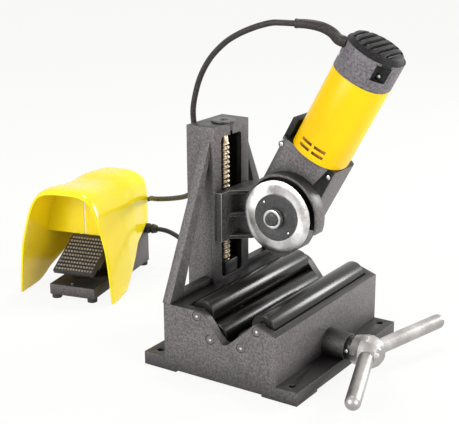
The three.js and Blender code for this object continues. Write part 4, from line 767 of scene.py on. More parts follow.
class Workshop:
    """Makes the scene's pieces, dresses the CAD nodes and keeps count of them.

    Attributes:
        FLAT: Faces that meet at less than this many degrees become one before the rounding.
        LONG: Edges shorter than this many widths of the rounding stay sharp.
    """

    FLAT = 0.6
    LONG = 1.5

    def __init__(self, frame: dict) -> None:
        """Keeps the loaded frame.
        """
        self.frame = frame
        self.left = set(frame["nodes"])

    def finish(
        self,
        mesh: bpy.types.Mesh,
        name: str,
        body: str,
        finishes: tuple[Finish, ...],
        nodes: tuple[str, ...],
    ) -> bpy.types.Object:
        """Links a mesh as a piece on a body, with its materials and the nodes it stands for.

        Args:
            mesh: The finished mesh.
            name: Name of the piece.
            body: Body that it rides on, or an empty text for none.
            finishes: Its finishes, by material number.
            nodes: CAD nodes that it replaces.

        Returns:
            The piece.
        """
        piece = stand(name, mesh)
        tints = np.zeros(len(mesh.polygons), np.int32)
        mesh.polygons.foreach_get("material_index", tints)
        mesh.materials.clear()
        for finish in finishes:
            mesh.materials.append(finish.material())
        mesh.polygons.foreach_set("material_index", np.minimum(tints, len(finishes) - 1))
        if body:
            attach(piece, body)
        if nodes:
            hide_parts(*nodes)
            self.left -= set(nodes)
        LOG.info("%s: %d faces", name, len(mesh.polygons))
        return piece

    def piece(
        self,
        name: str,
        shells: list[Shell],
        body: str,
        finishes: tuple[Finish, ...],
        nodes: tuple[str, ...] = (),
        smooth: float = 35.0,
    ) -> bpy.types.Object:
        """Makes one piece from shells, with outward faces and closed seams.

        Args:
            name: Name of the piece.
            shells: Its surfaces.
            body: Body that it rides on.
            finishes: Its finishes, by material number.
            nodes: CAD nodes that it replaces.
            smooth: Edges sharper than this many degrees stay sharp.

        Returns:
            The piece.
        """
        shell = Shell.joined(shells)
        mesh = bpy.data.meshes.new(name)
        mesh.from_pydata(shell.vertices.tolist(), [], shell.faces)
        mesh.polygons.foreach_set("material_index", shell.tints)
        with opened(mesh) as work:
            bmesh.ops.remove_doubles(work, verts=work.verts, dist=WELD)
            bmesh.ops.recalc_face_normals(work, faces=work.faces)
        mesh.shade_smooth()
        mesh.set_sharp_from_angle(angle=math.radians(smooth))
        return self.finish(mesh, name, body, finishes, nodes)

    def carved(self, mesh: bpy.types.Mesh, cutter: Shell) -> bpy.types.Mesh:
        """Returns a mesh with a closed shell taken out of it.

        Args:
            mesh: The mesh.
            cutter: The shell.

        Returns:
            A new mesh.
        """
        shape = bpy.data.meshes.new("cutter")
        shape.from_pydata(cutter.vertices.tolist(), [], cutter.faces)
        with opened(shape) as work:
            bmesh.ops.recalc_face_normals(work, faces=work.faces)
        with opened(mesh) as work:
            bmesh.ops.remove_doubles(work, verts=work.verts, dist=WELD)
        body, tool = stand("carved", mesh), stand("cutter", shape)
        modifier = body.modifiers.new("cut", "BOOLEAN")
        modifier.operation = "DIFFERENCE"
        modifier.solver = "EXACT"
        modifier.object = tool
        bpy.context.view_layer.update()
        graph = bpy.context.evaluated_depsgraph_get()
        made = bpy.data.meshes.new_from_object(body.evaluated_get(graph))
        for item in (tool, body):
            bpy.data.objects.remove(item)
        return made

    def eased(
        self,
        node: str,
        width: float,
        finish: Finish,
        edge: Finish | None = None,
        smooth: float = 32.0,
        zones: tuple[Zone, ...] = (),
        cutter: Shell | None = None,
    ) -> bpy.types.Object:
        """Replaces a CAD node by its own form with its long outer edges rounded.

        Args:
            node: The CAD node.
            width: Width of the rounding.
            finish: Finish of the faces.
            edge: Finish of the rounding, a lighter one that paints a highlight along the edges, or
                none for the faces' own.
            smooth: Edges sharper than this many degrees are rounded or stay sharp.
            zones: More finishes, each with a test that tells its faces.
            cutter: Closed shell taken out of the form first.

        Returns:
            The piece.
        """
        mesh = self.frame["nodes"][node].data.copy()
        if cutter:
            mesh = self.carved(mesh, cutter)
        limit = math.radians(smooth)
        with opened(mesh) as work:
            bmesh.ops.remove_doubles(work, verts=work.verts, dist=WELD)
            bmesh.ops.dissolve_limit(
                work,
                angle_limit=math.radians(self.FLAT),
                verts=work.verts,
                edges=work.edges,
                use_dissolve_boundaries=False,
            )
            outer = [e for e in work.edges if e.is_manifold and e.is_convex]
            sharp = [e for e in outer if e.calc_face_angle(0) > limit]
            for face in work.faces:
                face.material_index = 0
            # The rounding takes material 1, the edge finish with its painted highlight.
            bmesh.ops.bevel(
                work,
                geom=[e for e in sharp if e.calc_length() > self.LONG * width],
                offset=width,
                offset_type="OFFSET",
                segments=2,
                profile=0.5,
                affect="EDGES",
                clamp_overlap=True,
                material=1 if edge else 0,
            )
        mesh.shade_smooth()
        mesh.set_sharp_from_angle(angle=limit)
        polygons = mesh.polygons
        kinds = ("center", "normal")
        faces = Faces(*(np.array([tuple(getattr(p, k)) for p in polygons]) for k in kinds))
        tints = np.zeros(len(polygons), np.int32)
        polygons.foreach_get("material_index", tints)
        for number, (_, test) in enumerate(zones, 2):
            tints[test(faces)] = number
        polygons.foreach_set("material_index", tints)
        finishes = (finish, edge or finish, *(zone for zone, _ in zones))
        body = self.frame["nodes"][node]["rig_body"]
        return self.finish(mesh, f"{node}_dressed", body, finishes, (node,))

    def paint(self, node: str, finish: Finish) -> None:
        """Gives a CAD node that stays a finish.

        Args:
            node: The CAD node.
            finish: Its finish.
        """
        kept = self.frame["nodes"][node]
        kept.data.materials.clear()
        kept.data.materials.append(finish.material())
        self.left.discard(node)
        LOG.info("%s stays", node)


@dataclass(frozen=True)
class Lamp:
    """A soft rectangular lamp.

    Attributes:
        name: Its name.
        place: Where it hangs.
        size: Width and height.
        power: Watts.
        aim: What it points at.
    """

    name: str
    place: Point
    size: Pair
    power: float
    aim: Point = (-0.05, 0.0, 0.18)

    def build(self) -> None:
        """Makes the lamp."""
        data = bpy.data.lights.new(self.name, "AREA")
        data.shape = "RECTANGLE"
        data.size, data.size_y = self.size
        data.energy = self.power
        lamp = stand(self.name, data)
        lamp.location = self.place
        way = Vector(self.aim) - Vector(self.place)
        lamp.rotation_euler = way.to_track_quat("-Z", "Y").to_euler()


@dataclass
class Studio:
    """Pale floor, soft lights and the camera at the photograph's place.

    Attributes:
        focal: Focal length in pixels of a picture as wide as the photograph.
        picture_width: Width of the photograph in pixels.
        sensor: Width of the camera's sensor in millimetres.
        clips: Nearest and farthest distance that the camera sees.
        place: Camera's place.
        right: Camera's right.
        up: Camera's up.
        back: Direction from what it looks at towards it.
        floor_size: Length of the floor's sides.
        floor_height: Height of the floor, just below the feet.
        floor_glow: Share of the floor's own white where it is seen.
        pale: Colour of the background where it is seen.
        fill: Strength of the light from all around.
        lamps: The lamps.
    """

    focal: float = 1085.30
    picture_width: float = 459.0
    sensor: float = 36.0
    clips: Pair = (0.05, 60)
    place: Point = (646.599 * MM, -1063.417 * MM, 547.753 * MM)
    right: Point = (0.83221, 0.55444, -0.00526)
    up: Point = (-0.15450, 0.24099, 0.95815)
    back: Point = (0.53251, -0.79657, 0.28621)
    floor_size: float = 12.0
    floor_height: float = -0.3 * MM
    floor_glow: float = 0.9
    pale: tuple[float, ...] = (1, 1, 0.99, 1)
    fill: float = 0.44
    lamps: tuple[Lamp, ...] = (
        Lamp("key", (-0.5, -2.0, 0.9), (1.0, 1.0), 30),
        Lamp("side", (2.1, -0.5, 0.7), (0.9, 1.0), 26),
        Lamp("top", (-0.25, 0.5, 1.8), (0.4, 0.28), 12),
        Lamp("back", (1.0, 1.65, 0.8), (0.45, 0.7), 26, (0.0, 0.0, 0.1)),
    )

    def camera(self) -> None:
        """Makes the camera."""
        data = bpy.data.cameras.new("camera")
        data.sensor_width = self.sensor
        data.lens = self.focal / self.picture_width * self.sensor
        data.clip_start, data.clip_end = self.clips
        camera = stand("camera", data)
        axes = Matrix([self.right, self.up, self.back]).transposed()
        camera.matrix_world = Matrix.Translation(self.place) @ axes.to_4x4()
        bpy.context.scene.camera = camera

    def white_rays(self, tree: bpy.types.NodeTree) -> bpy.types.NodeSocket:
        """Returns 1 for a ray from the camera or from a gloss or clear surface."""
        seen = tree.nodes.new("ShaderNodeLightPath").outputs
        total = seen["Is Camera Ray"]
        for name in ("Is Glossy Ray", "Is Transmission Ray"):
            total = combined(tree, "MAXIMUM", total, seen[name])
        return total

    def floor(self) -> None:
        """Makes the floor, whose own white shows through its shadows."""
        mesh = bpy.data.meshes.new("floor")
        half = self.floor_size / 2
        corners = oblong(-half, half, -half, half).tolist()
        mesh.from_pydata([(x, y, self.floor_height) for x, y in corners], [], [(0, 1, 2, 3)])
        floor = stand("floor", mesh)
        graph = Graph("floor")
        graph.shader.inputs["Base Color"].default_value = (0.8, 0.8, 0.79, 1)
        graph.shader.inputs["Roughness"].default_value = 0.9
        glow = graph.tree.nodes.new("ShaderNodeEmission")
        glow.inputs["Color"].default_value = self.pale
        share = combined(graph.tree, "MULTIPLY", self.white_rays(graph.tree), self.floor_glow)
        both = mixed(graph.tree, share, graph.shader.outputs["BSDF"], glow.outputs["Emission"])
        graph.tree.links.new(both, graph.output.inputs["Surface"])
        mesh.materials.append(graph.material)

    def world(self) -> None:
        """Makes a surrounding that the camera and the gloss see as near white."""
        world = bpy.data.worlds.new("studio")
        bpy.context.scene.world = world
        world.use_nodes = True
        tree = world.node_tree
        plain = tree.nodes["Background"]
        plain.inputs["Color"].default_value = (1, 1, 1, 1)
        plain.inputs["Strength"].default_value = self.fill
        white = tree.nodes.new("ShaderNodeBackground")
        white.inputs["Color"].default_value = self.pale
        both = mixed(tree, self.white_rays(tree), plain.outputs[0], white.outputs[0])
        tree.links.new(both, tree.nodes["World Output"].inputs["Surface"])

    def build(self) -> None:
        """Makes the whole studio."""
        bpy.context.scene.view_settings.view_transform = "Standard"
        self.camera()
        self.floor()
        self.world()
        for lamp in self.lamps:
            lamp.build()


@dataclass
class Leads:
    """Motor cord, mains cord with its coil, and what is on them. Routes are in millimetres.

    Attributes:
        shop: Where the pieces are made.
        diameter: Diameter of both cords, in metres.
        coil_centre: Middle of the coil.
        coil_inner: Radius of the innermost turn.
        coil_pitch: Distance between turns and between layers.
        coil_loops: Turns in each layer.
        coil_steps: Route points in each turn.
        coil_start: Angle where the coil starts.
        coil_rest: Height of the lower layer's middle line.
        sleeve_angle: Angle at which the sleeve leaves the motor, in the leaning frame.
        sleeve_along: How far up the motor it leaves.
        sleeve_reaches: Distances from the motor's axis of its first points.
        sleeve_radii: Radius at its foot and tip, and height of its lip.
        sleeve_bend: Its other points.
        motor_start: Distances from the sleeve's tip at which the motor cord starts.
        motor_route: The motor cord's way down and back to the foot switch.
        motor_end: How far before its gland it runs straight.
        mains_start: How far the mains cord runs straight out of its gland.
        mains_route: From there to the coil.
        tail_route: From the coil to the plug.
        plug_place: Where the tail meets the plug.
        plug_heading: Direction of the plug.
        plug_runs: Distances before the plug of the tail's last points.
        control_exit: Where the motor cord enters the foot switch, in its own frame.
        mains_exit: Where the mains cord leaves it.
    """

    shop: Workshop
    diameter: float = 7 * MM
    coil_centre: Pair = (-110.0, 190.0)
    coil_inner: float = 31.0
    coil_pitch: float = 8.6
    coil_loops: int = 3
    coil_steps: int = 24
    coil_start: float = math.radians(-110)
    coil_rest: float = 5.4
    sleeve_angle: float = math.radians(-143.5)
    sleeve_along: float = 223.0
    sleeve_reaches: Pair = (37.2, 44.2)
    sleeve_radii: Point = (6.5 * MM, 5 * MM, 0.5 * MM)
    sleeve_bend: tuple[Point, ...] = (
        (74.8, -0.6, 393.4), (68, -5, 398.6), (61, -9, 401.5), (49, -14, 403.6), (36.2, -18, 403.9),
    )  # fmt: skip
    motor_start: Pair = (0.3, 14.3)
    motor_route: tuple[Point, ...] = (
        (10.5, -24, 403.7), (-6.2, -25, 399.4), (-19, -25, 394.8), (-32.7, -25, 388.9),
        (-50.7, -24, 378.8), (-76.5, -18, 358.3), (-96.8, -10, 334.8), (-107.5, -6, 314),
        (-113.4, -5, 289), (-113, -3, 262), (-115, 2, 232), (-121, 14, 205), (-134, 30, 184),
        (-152, 46, 168), (-174, 60, 155), (-203.8, 76, 143.8), (-232.4, 90, 135),
        (-258.6, 104, 127.5), (-287.3, 130.1, 118), (-305.9, 154.7, 109), (-325, 179.5, 100),
        (-348.7, 186.8, 90), (-364.1, 191.4, 77), (-377.1, 194.5, 62), (-385.4, 194.7, 49),
    )  # fmt: skip
    motor_end: float = 14
    mains_start: float = 7
    mains_route: tuple[Point, ...] = (
        (-289.8, 171.6, 56), (-272.2, 175.2, 48.5), (-250, 178, 34), (-226, 177, 17),
        (-202, 170, 7), (-174, 157.5, 4.5), (-150, 144.8, 4.7),
    )  # fmt: skip
    tail_route: tuple[Point, ...] = ((-105, 249, 17), (-125, 247, 21.5), (-140, 237, 26))
    plug_place: Point = (-149, 215, 27.9)
    plug_heading: float = math.radians(-101)
    plug_runs: Pair = (7.3, 0.3)
    control_exit: Point = (-18, 193.6, 38)
    mains_exit: Point = (53.1, 167, 59)

    def sleeve_path(self) -> np.ndarray:
        """Returns the sleeve's middle line: straight out of the motor's side, then over."""
        way = np.array([math.cos(self.sleeve_angle), math.sin(self.sleeve_angle), 0])
        starts = [way * reach + UP * self.sleeve_along for reach in self.sleeve_reaches]
        first = LEANING.out(np.array(starts) * MM) / MM
        return smooth_path(np.array([*first, *self.sleeve_bend]), 0.5)

    def coil(self) -> np.ndarray:
        """Returns the coil's route: inwards below, up in half a turn, outwards on top.

        The radius is the inner one plus the pitch times the turns to go inwards or gone outwards.
        """
        turn = np.arange(int((self.coil_loops * 2 + 0.5) * self.coil_steps) + 1) / self.coil_steps
        angle = self.coil_start + turn * 2 * math.pi
        climb = np.clip((turn - self.coil_loops) * 2, 0, 1)
        inward = np.maximum(0, self.coil_loops - turn)
        outward = np.maximum(0, turn - self.coil_loops - 0.5)
        radius = self.coil_inner + self.coil_pitch * (inward + outward)
        x = self.coil_centre[0] + radius * np.cos(angle)
        y = self.coil_centre[1] + radius * np.sin(angle)
        return np.stack([x, y, self.coil_rest + self.coil_pitch * climb], axis=1)

    def cord(
        self, name: str, route: list[np.ndarray], nodes: tuple[str, ...], body: str
    ) -> tuple[bpy.types.Object, np.ndarray]:
        """Makes a cord along a route.

        Args:
            name: Name of the piece.
            route: Its points.
            nodes: CAD nodes that it replaces.
            body: Body that it rides on, or an empty text for none.

        Returns:
            The piece, and its middle line in metres.
        """
        path = smooth_path(np.array(route, float) * MM, 2.5 * MM)
        shell = sleeve(path, self.diameter / 2)
        return self.shop.piece(name, [shell], body, (CORD_RUBBER,), nodes), path

    def motor_cord(self) -> None:
        """Makes the cord from the motor to the foot switch."""
        relief = self.sleeve_path()
        way = relief[-1] - relief[-2]
        way /= np.linalg.norm(way)
        starts = [relief[-1] + way * reach for reach in self.motor_start]
        gland = np.array(self.control_exit) * MM
        ends = SWITCH.out(np.stack([gland + (0, self.motor_end * MM, 0), gland])) / MM
        route = [*starts, *self.motor_route, *ends]
        cord, path = self.cord("motor_cord_dressed", route, ("motor_cord",), "")
        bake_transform(cord)

    def mains_cord(self) -> None:
        """Makes the mains cord from its gland through the coil to the plug."""
        gland = np.array(self.mains_exit) * MM
        starts = SWITCH.out(np.stack([gland, gland + (self.mains_start * MM, 0, 0)])) / MM
        heading = np.array([math.cos(self.plug_heading), math.sin(self.plug_heading), 0])
        ends = [np.array(self.plug_place) - heading * run for run in self.plug_runs]
        route = [*starts, *self.mains_route, *self.coil(), *self.tail_route, *ends]
        nodes = ("mains_lead", "mains_coil", "plug_tail")
        cord, path = self.cord("mains_cord", route, nodes, "machine")
        plug = self.shop.eased("mains_plug", 1.6 * MM, CORD_RUBBER)
        tie = self.shop.eased("coil_tie", 0.3 * MM, CORD_RUBBER)

    def relief(self) -> None:
        """Makes the tapered sleeve at the motor, with a round lip near its end."""
        path = self.sleeve_path() * MM
        share = np.linspace(0, 1, len(path))
        foot, tip, lip = self.sleeve_radii
        radius = foot + (tip - foot) * share + lip * np.exp(-(((share - 0.97) / 0.02) ** 2))
        shell = sleeve(path, radius, 24)
        self.shop.piece("cord_sleeve_dressed", [shell], "head", (CORD_RUBBER,), ("cord_sleeve",))

    def build(self) -> None:
        """Makes both cords and their ends."""
        self.motor_cord()
        self.mains_cord()
        self.relief()
        for gland in ("mains_gland", "control_gland"):
            self.shop.eased(gland, 0.4 * MM, CORD_RUBBER)


def within(faces: Faces, low: Point, high: Point) -> np.ndarray:
    """Tells which faces lie between two corners of the leaning frame, in millimetres."""
    place = LEANING.back(faces.middles)
    return np.all((place > np.array(low) * MM) & (place < np.array(high) * MM), axis=1)


def seated_screws(
    spots: tuple[tuple[Point, Point], ...], base: Point, size: Pair, drive: Drive
) -> tuple[list[Shell], list[Shell]]:
    """Makes screws of the cutting head, each on a dark seat.

    Args:
        spots: Place in millimetres and direction of each screw, in the leaning frame.
        base: Radius of a seat, its foot and its top.
        size: Radius and height of a head.
        drive: Recess of the heads.

    Returns:
        The seats and the heads.
    """
    seats, heads = [], []
    for place, way in spots:
        foot, axis = np.array(place) * MM, LEANING.turn(way)
        seats.append(seat(LEANING.out(foot), axis, *base))
        top = LEANING.out(foot + np.array(way) * base[2])
        heads.append(screw_head(top, axis, *size, drive))
    return seats, heads


@dataclass
class RollerBed:
    """Base casting, axles and the four rollers.

    Attributes:
        shop: Where the pieces are made.
        half_length: Half of the casting's length.
        roller_half: Half of a roller's length.
        roller_radius: Outer radius of a roller.
        shoulder: Radius of a roller's rounded shoulder.
        bore: Radius of a roller's bore.
        axle: Radius of an axle.
        chamfer: Width of an axle's chamfer.
        drilling: Radius and depth of an axle's centre drilling.
        places: Name, X and Z of each axle.
    """

    shop: Workshop
    half_length: float = 123 * MM
    roller_half: float = 109.5 * MM
    roller_radius: float = 15 * MM
    shoulder: float = 1.5 * MM
    bore: float = 6 * MM
    axle: float = 5.5 * MM
    chamfer: float = 0.8 * MM
    drilling: Pair = (1.5 * MM, 1.2 * MM)
    places: tuple[tuple[str, float, float], ...] = (
        ("rear_upper", -28.5 * MM, 77.5 * MM),
        ("rear_lower", -10.3 * MM, 52.6 * MM),
        ("front_lower", 31.8 * MM, 52.2 * MM),
        ("front_upper", 52.6 * MM, 76.8 * MM),
    )

    def mirrored(self, half: list[Pair]) -> list[Pair]:
        """Returns a bar's profile from that of its far end, with the near end the same."""
        return [(radius, -along) for radius, along in half] + half[::-1]

    def roller(self, name: str, x: float, z: float) -> None:
        """Makes one roller, a tube with rounded shoulders.

        Args:
            name: Which roller.
            x: Its X.
            z: Its Z.
        """
        r, h, e = self.roller_radius, self.roller_half, self.shoulder
        angles = np.linspace(0, math.pi / 2, 5)
        arc = [(r - e + e * math.sin(a), h - e + e * math.cos(a)) for a in angles]
        profile = [(self.bore, -h), *self.mirrored(arc), (self.bore, h), (self.bore, -h)]
        shell = turned(profile, (x, 0, z), (0, 1, 0), 120)
        shell.faces = shell.faces[:-2]
        node = f"roller_{name}"
        self.shop.piece(f"{node}_dressed", [shell], node, (ROLLER_STEEL,), (node,))

    def axles(self) -> None:
        """Makes the axles dull, with a chamfer and a bright centre drilling at each end."""
        segments = 48
        for name, x, z in self.places:
            h, r, c = self.half_length, self.axle, self.chamfer
            radius, depth = self.drilling
            half = [(0, h - depth), (radius, h), (r - c, h), (r, h - c)]
            shell = turned(self.mirrored(half), (x, 0, z), (0, 1, 0), segments)
            spans = np.repeat([1, 0, 0, 0, 0, 0, 1], segments)
            shell.tints = (*spans.tolist(), 1, 1)
            node = f"axle_{name}"
            finishes = (AXLE_DULL, BRIGHT_STEEL)
            self.shop.piece(f"{node}_dressed", [shell], "machine", finishes, (node,))

    def build(self) -> None:
        """Makes the bed."""
        self.shop.eased("base_casting", 0.9 * MM, CAST_PAINT, CAST_EDGE_HIGHLIGHT)
        self.axles()
        for place in self.places:
            self.roller(*place)


@dataclass
class ColumnSet:
    """Column, its bearings, and the spindle with its thread.

    Attributes:
        shop: Where the pieces are made.
        spindle_x: X of the spindle.
        crest: Radius of the thread's crest.
        root: Radius of the thread's root.
        pitch: Distance between crests.
        thread: Lowest and highest Z of the thread.
        row: Height of a row of points on the thread.
        wave_foot: Share of the wave below which the thread is at its root.
        wave_flank: Share of the wave over which it climbs to its crest.
        neck: Height between the thread and the plain root beside it.
        journal: Radius of both journals.
        low_journal: Z of the lower journal's ends.
        high_journal: Z of the upper journal's ends.
    """

    shop: Workshop
    spindle_x: float = -72 * MM
    crest: float = 7 * MM
    root: float = 5.5 * MM
    pitch: float = 6 * MM
    thread: Pair = (54 * MM, 252 * MM)
    row: float = 0.5 * MM
    wave_foot: float = 0.3
    wave_flank: float = 0.35
    neck: float = 1 * MM
    journal: float = 4.5 * MM
    low_journal: Pair = (35.4 * MM, 46 * MM)
    high_journal: Pair = (268 * MM, 278 * MM)

    def spindle(self) -> None:
        """Makes the spindle: its root plus a trapezoid wave of height less the turn's share."""
        angle = round_angles(48)[None, :]
        flat = np.ones_like(angle)
        low, high = self.thread
        z = np.linspace(low, high, int((high - low) / self.row))[:, None]
        wave = np.abs(2 * np.mod(z / self.pitch - angle / (2 * math.pi), 1) - 1)
        climb = np.clip((wave - self.wave_foot) / self.wave_flank, 0, 1)
        plain = np.array([self.journal, self.journal, self.root])[:, None] * flat
        reach = np.concatenate([plain, self.root + (self.crest - self.root) * climb, plain[::-1]])
        below, above = (*self.low_journal, low - self.neck), (high + self.neck, *self.high_journal)
        height = np.concatenate([below, z[:, 0], above])[:, None] * flat
        x = self.spindle_x + reach * np.cos(angle)
        shell = net(np.stack([x, reach * np.sin(angle), height], axis=-1))
        self.shop.piece("spindle_dressed", [shell], "spindle", (SPINDLE_BRASS,), ("spindle",), 60)

    def build(self) -> None:
        """Makes the column set."""
        self.shop.eased("column", 0.9 * MM, CAST_PAINT, CAST_EDGE_HIGHLIGHT)
        self.shop.eased("spindle_top_bearing", 0.5 * MM, FLANGE_STEEL)
        self.shop.eased("spindle_foot_bearing", 0.8 * MM, BLACK_STEEL)
        self.spindle()
        self.shop.paint("spindle_bevel_gear", BRIGHT_STEEL)


@dataclass
class FeedHandle:
    """Collar, hub and the two levers.

    Attributes:
        shop: Where the pieces are made.
        hub: Middle of the hub.
        lever_radius: Radius of a lever.
        lever_start: From the hub's middle to where a lever begins.
        lever_reach: From the hub's middle to where the rounded end begins.
        tilt: Lean of the levers away from the machine.
        roll: Turn of the levers about the shaft.
        screw_place: Middle of the seat of the collar's screw.
        screw_way: Direction out of that seat.
        screw_size: Radius and height of the screw's head.
    """

    shop: Workshop
    hub: Point = (129.7 * MM, 0.0, 26 * MM)
    lever_radius: float = 9 * MM
    lever_start: float = 13 * MM
    lever_reach: float = 118 * MM
    tilt: float = math.radians(18.9)
    roll: float = math.radians(4.2)
    screw_place: Point = (108.5 * MM, -14.2 * MM, 27 * MM)
    screw_way: Point = (0, -1, 0.07)
    screw_size: Pair = (2.2 * MM, 0.9 * MM)

    def lever(self, side: int, name: str) -> None:
        """Makes one lever with a round end.

        Args:
            side: 1 for the far lever, -1 for the near one.
            name: Its CAD node.
        """
        flat = math.cos(self.tilt) * side
        axis = (math.sin(self.tilt), flat * math.cos(self.roll), flat * math.sin(self.roll))
        r, h = self.lever_radius, self.lever_reach
        arc = [(r * math.cos(a), h + r * math.sin(a)) for a in np.linspace(0, math.pi / 2, 9)]
        shell = turned([(0, self.lever_start), (r, self.lever_start), *arc], self.hub, axis, 64)
        self.shop.piece(f"{name}_dressed", [shell], "feed_handle", (HANDLE_STEEL,), (name,))

    def build(self) -> None:
        """Makes the handle."""
        self.shop.eased("handle_hub", 0.7 * MM, HANDLE_STEEL, smooth=12)
        self.shop.eased("feed_collar", 0.7 * MM, BLACK_STEEL)
        self.lever(-1, "feed_lever_near")
        self.lever(1, "feed_lever_far")
        for node in ("feed_shaft", "shaft_bevel_gear"):
            self.shop.paint(node, BRIGHT_STEEL)
        screw = screw_head(self.screw_place, self.screw_way, *self.screw_size, Drive.HEX)
        self.shop.piece("collar_screw", [screw], "feed_handle", (BRIGHT_STEEL,))


@dataclass
class CuttingHead:
    """Carriage, gearbox, guard and the cutting wheel.

    Attributes:
        shop: Where the pieces are made.
        wheel: X and Z of the wheel's axis.
        flange: Radius of the wheel's flange.
        flange_bore: Radius of its bore.
        rim: Width and height of the bevel at its rim.
        dish: Distances from the rim where the dish starts and is deep, and its depth.
        pin_circle: Radius of the circle of the flange's pins.
        pin_angles: Angles of the pins on it.
        pin_hole: Radius of the black disc that paints the shade of a pin's hole.
        pin_head: Radius and height of a pin's head.
        recess: Outline of the hollow at the gearbox's right edge, in the leaning frame.
        recess_depth: Y from which the hollow is open, and its floor.
        shade: Lowest and highest corners of the part of the hollow that gets painted shade, near
            black.
        lug: The same for the black lug beside the barrel.
        screws: Place and direction of the gearbox's screws, in the leaning frame.
        screw_seat: Radius of a seat, its foot and its top.
        screw_size: Radius and height of a screw's head.
    """

    shop: Workshop
    wheel: Pair = (17.8 * MM, 178.5 * MM)
    flange: float = 28 * MM
    flange_bore: float = 7.8 * MM
    rim: Pair = (0.8 * MM, 0.7 * MM)
    dish: Point = (9 * MM, 13 * MM, 1.2 * MM)
    pin_circle: float = 23.5 * MM
    pin_angles: Pair = (math.radians(132), math.radians(-42))
    pin_hole: float = 2.5 * MM
    pin_head: Pair = (1.5 * MM, 0.8 * MM)
    recess: tuple[Pair, ...] = ((27.5, 87), (37, 87), (37, 46), (34, 47), (20.5, 60))
    recess_depth: Pair = (-28.5 * MM, -21.5 * MM)
    shade: tuple[Point, Point] = ((19.0, -26.6, 45.0), (35.0, -21.3, math.inf))
    lug: tuple[Point, Point] = ((-math.inf, -math.inf, 89), (-34, math.inf, math.inf))
    screws: tuple[tuple[Point, Point], ...] = (
        ((-39, -24.6, 75.8), (0, -1, 0)),
        ((30.6, -21.5, 76.5), (0, -1, 0)),
    )
    screw_seat: Point = (4 * MM, -2 * MM, 0.5 * MM)
    screw_size: Pair = (3.0 * MM, 1.8 * MM)

    def gearbox(self) -> None:
        """Makes the gearbox with its hollow, painted near black as shade where it is hidden, and
        its two screws.
        """
        cutter = slab(np.array(self.recess) * MM, *self.recess_depth).moved(LEANING)
        # Painted shade: the hidden part of the hollow is near black.
        zones = (
            (CAST_DARK, lambda faces: within(faces, *self.shade)),
            (CAST_DARK, lambda faces: within(faces, *self.lug)),
        )
        node = "gearbox_housing"
        self.shop.eased(node, 0.9 * MM, CAST_PAINT, CAST_EDGE_HIGHLIGHT, zones=zones, cutter=cutter)
        seats, heads = seated_screws(self.screws, self.screw_seat, self.screw_size, Drive.HEX)
        self.shop.piece("gearbox_screw_seats", seats, "head", (CAST_DARK,))
        self.shop.piece("gearbox_screws", heads, "head", (BRIGHT_STEEL,))

    def flange_disc(self) -> None:
        """Makes the wheel's flange with a low rim and a dished middle, and its two pins, each on a
        black disc that paints the shade of its hole.
        """
        near, far = (corner[1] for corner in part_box("wheel_flange"))
        thick = far - near
        radius, bore = self.flange, self.flange_bore
        start, deep, depth = self.dish
        profile = [
            (bore, 0),
            (radius, 0),
            (radius, thick - self.rim[1]),
            (radius - self.rim[0], thick),
            (radius - start, thick),
            (radius - deep, thick - depth),
            (bore, thick - depth),
            (bore, 0),
        ]
        disc = turned(profile, (self.wheel[0], far, self.wheel[1]), (0, -1, 0), 120)
        disc.faces = disc.faces[:-2]
        self.shop.piece("wheel_flange_dressed", [disc], "wheel", (FLANGE_STEEL,), ("wheel_flange",))
        dark, light = [], []
        for angle in self.pin_angles:
            x = self.wheel[0] + self.pin_circle * math.cos(angle)
            z = self.wheel[1] + self.pin_circle * math.sin(angle)
            # Black disc in place of the pin's hole: painted shade.
            dark.append(seat((x, near, z), (0, -1, 0), self.pin_hole, -0.5 * MM, 0.25 * MM))
            place = (x + 0.8 * MM, near - 0.2 * MM, z - 0.2 * MM)
            light.append(screw_head(place, (0, -1, 0), *self.pin_head, Drive.HEX))
        self.shop.piece("flange_pin_hole_shade", dark, "wheel", (BLACK_STEEL,))
        self.shop.piece("flange_pins", light, "wheel", (BRIGHT_STEEL,))

    def build(self) -> None:
        """Makes the head's castings and the wheel."""
        # The carriage is darker all over as painted shade.
        self.shop.eased("carriage", 0.6 * MM, CAST_PAINTED_SHADE, CAST_EDGE_HIGHLIGHT)
        self.gearbox()
        for node in ("wheel_guard", "gearbox_rear_cover"):
            self.shop.eased(node, 0.5 * MM, CAST_PAINT, CAST_EDGE_HIGHLIGHT)
        self.shop.eased("cutting_wheel", 0.2 * MM, WHEEL_STEEL)
        self.flange_disc()
        self.shop.eased("wheel_nut", 0.7 * MM, BRIGHT_STEEL)
        self.shop.eased("output_shaft", 0.5 * MM, FLANGE_STEEL)


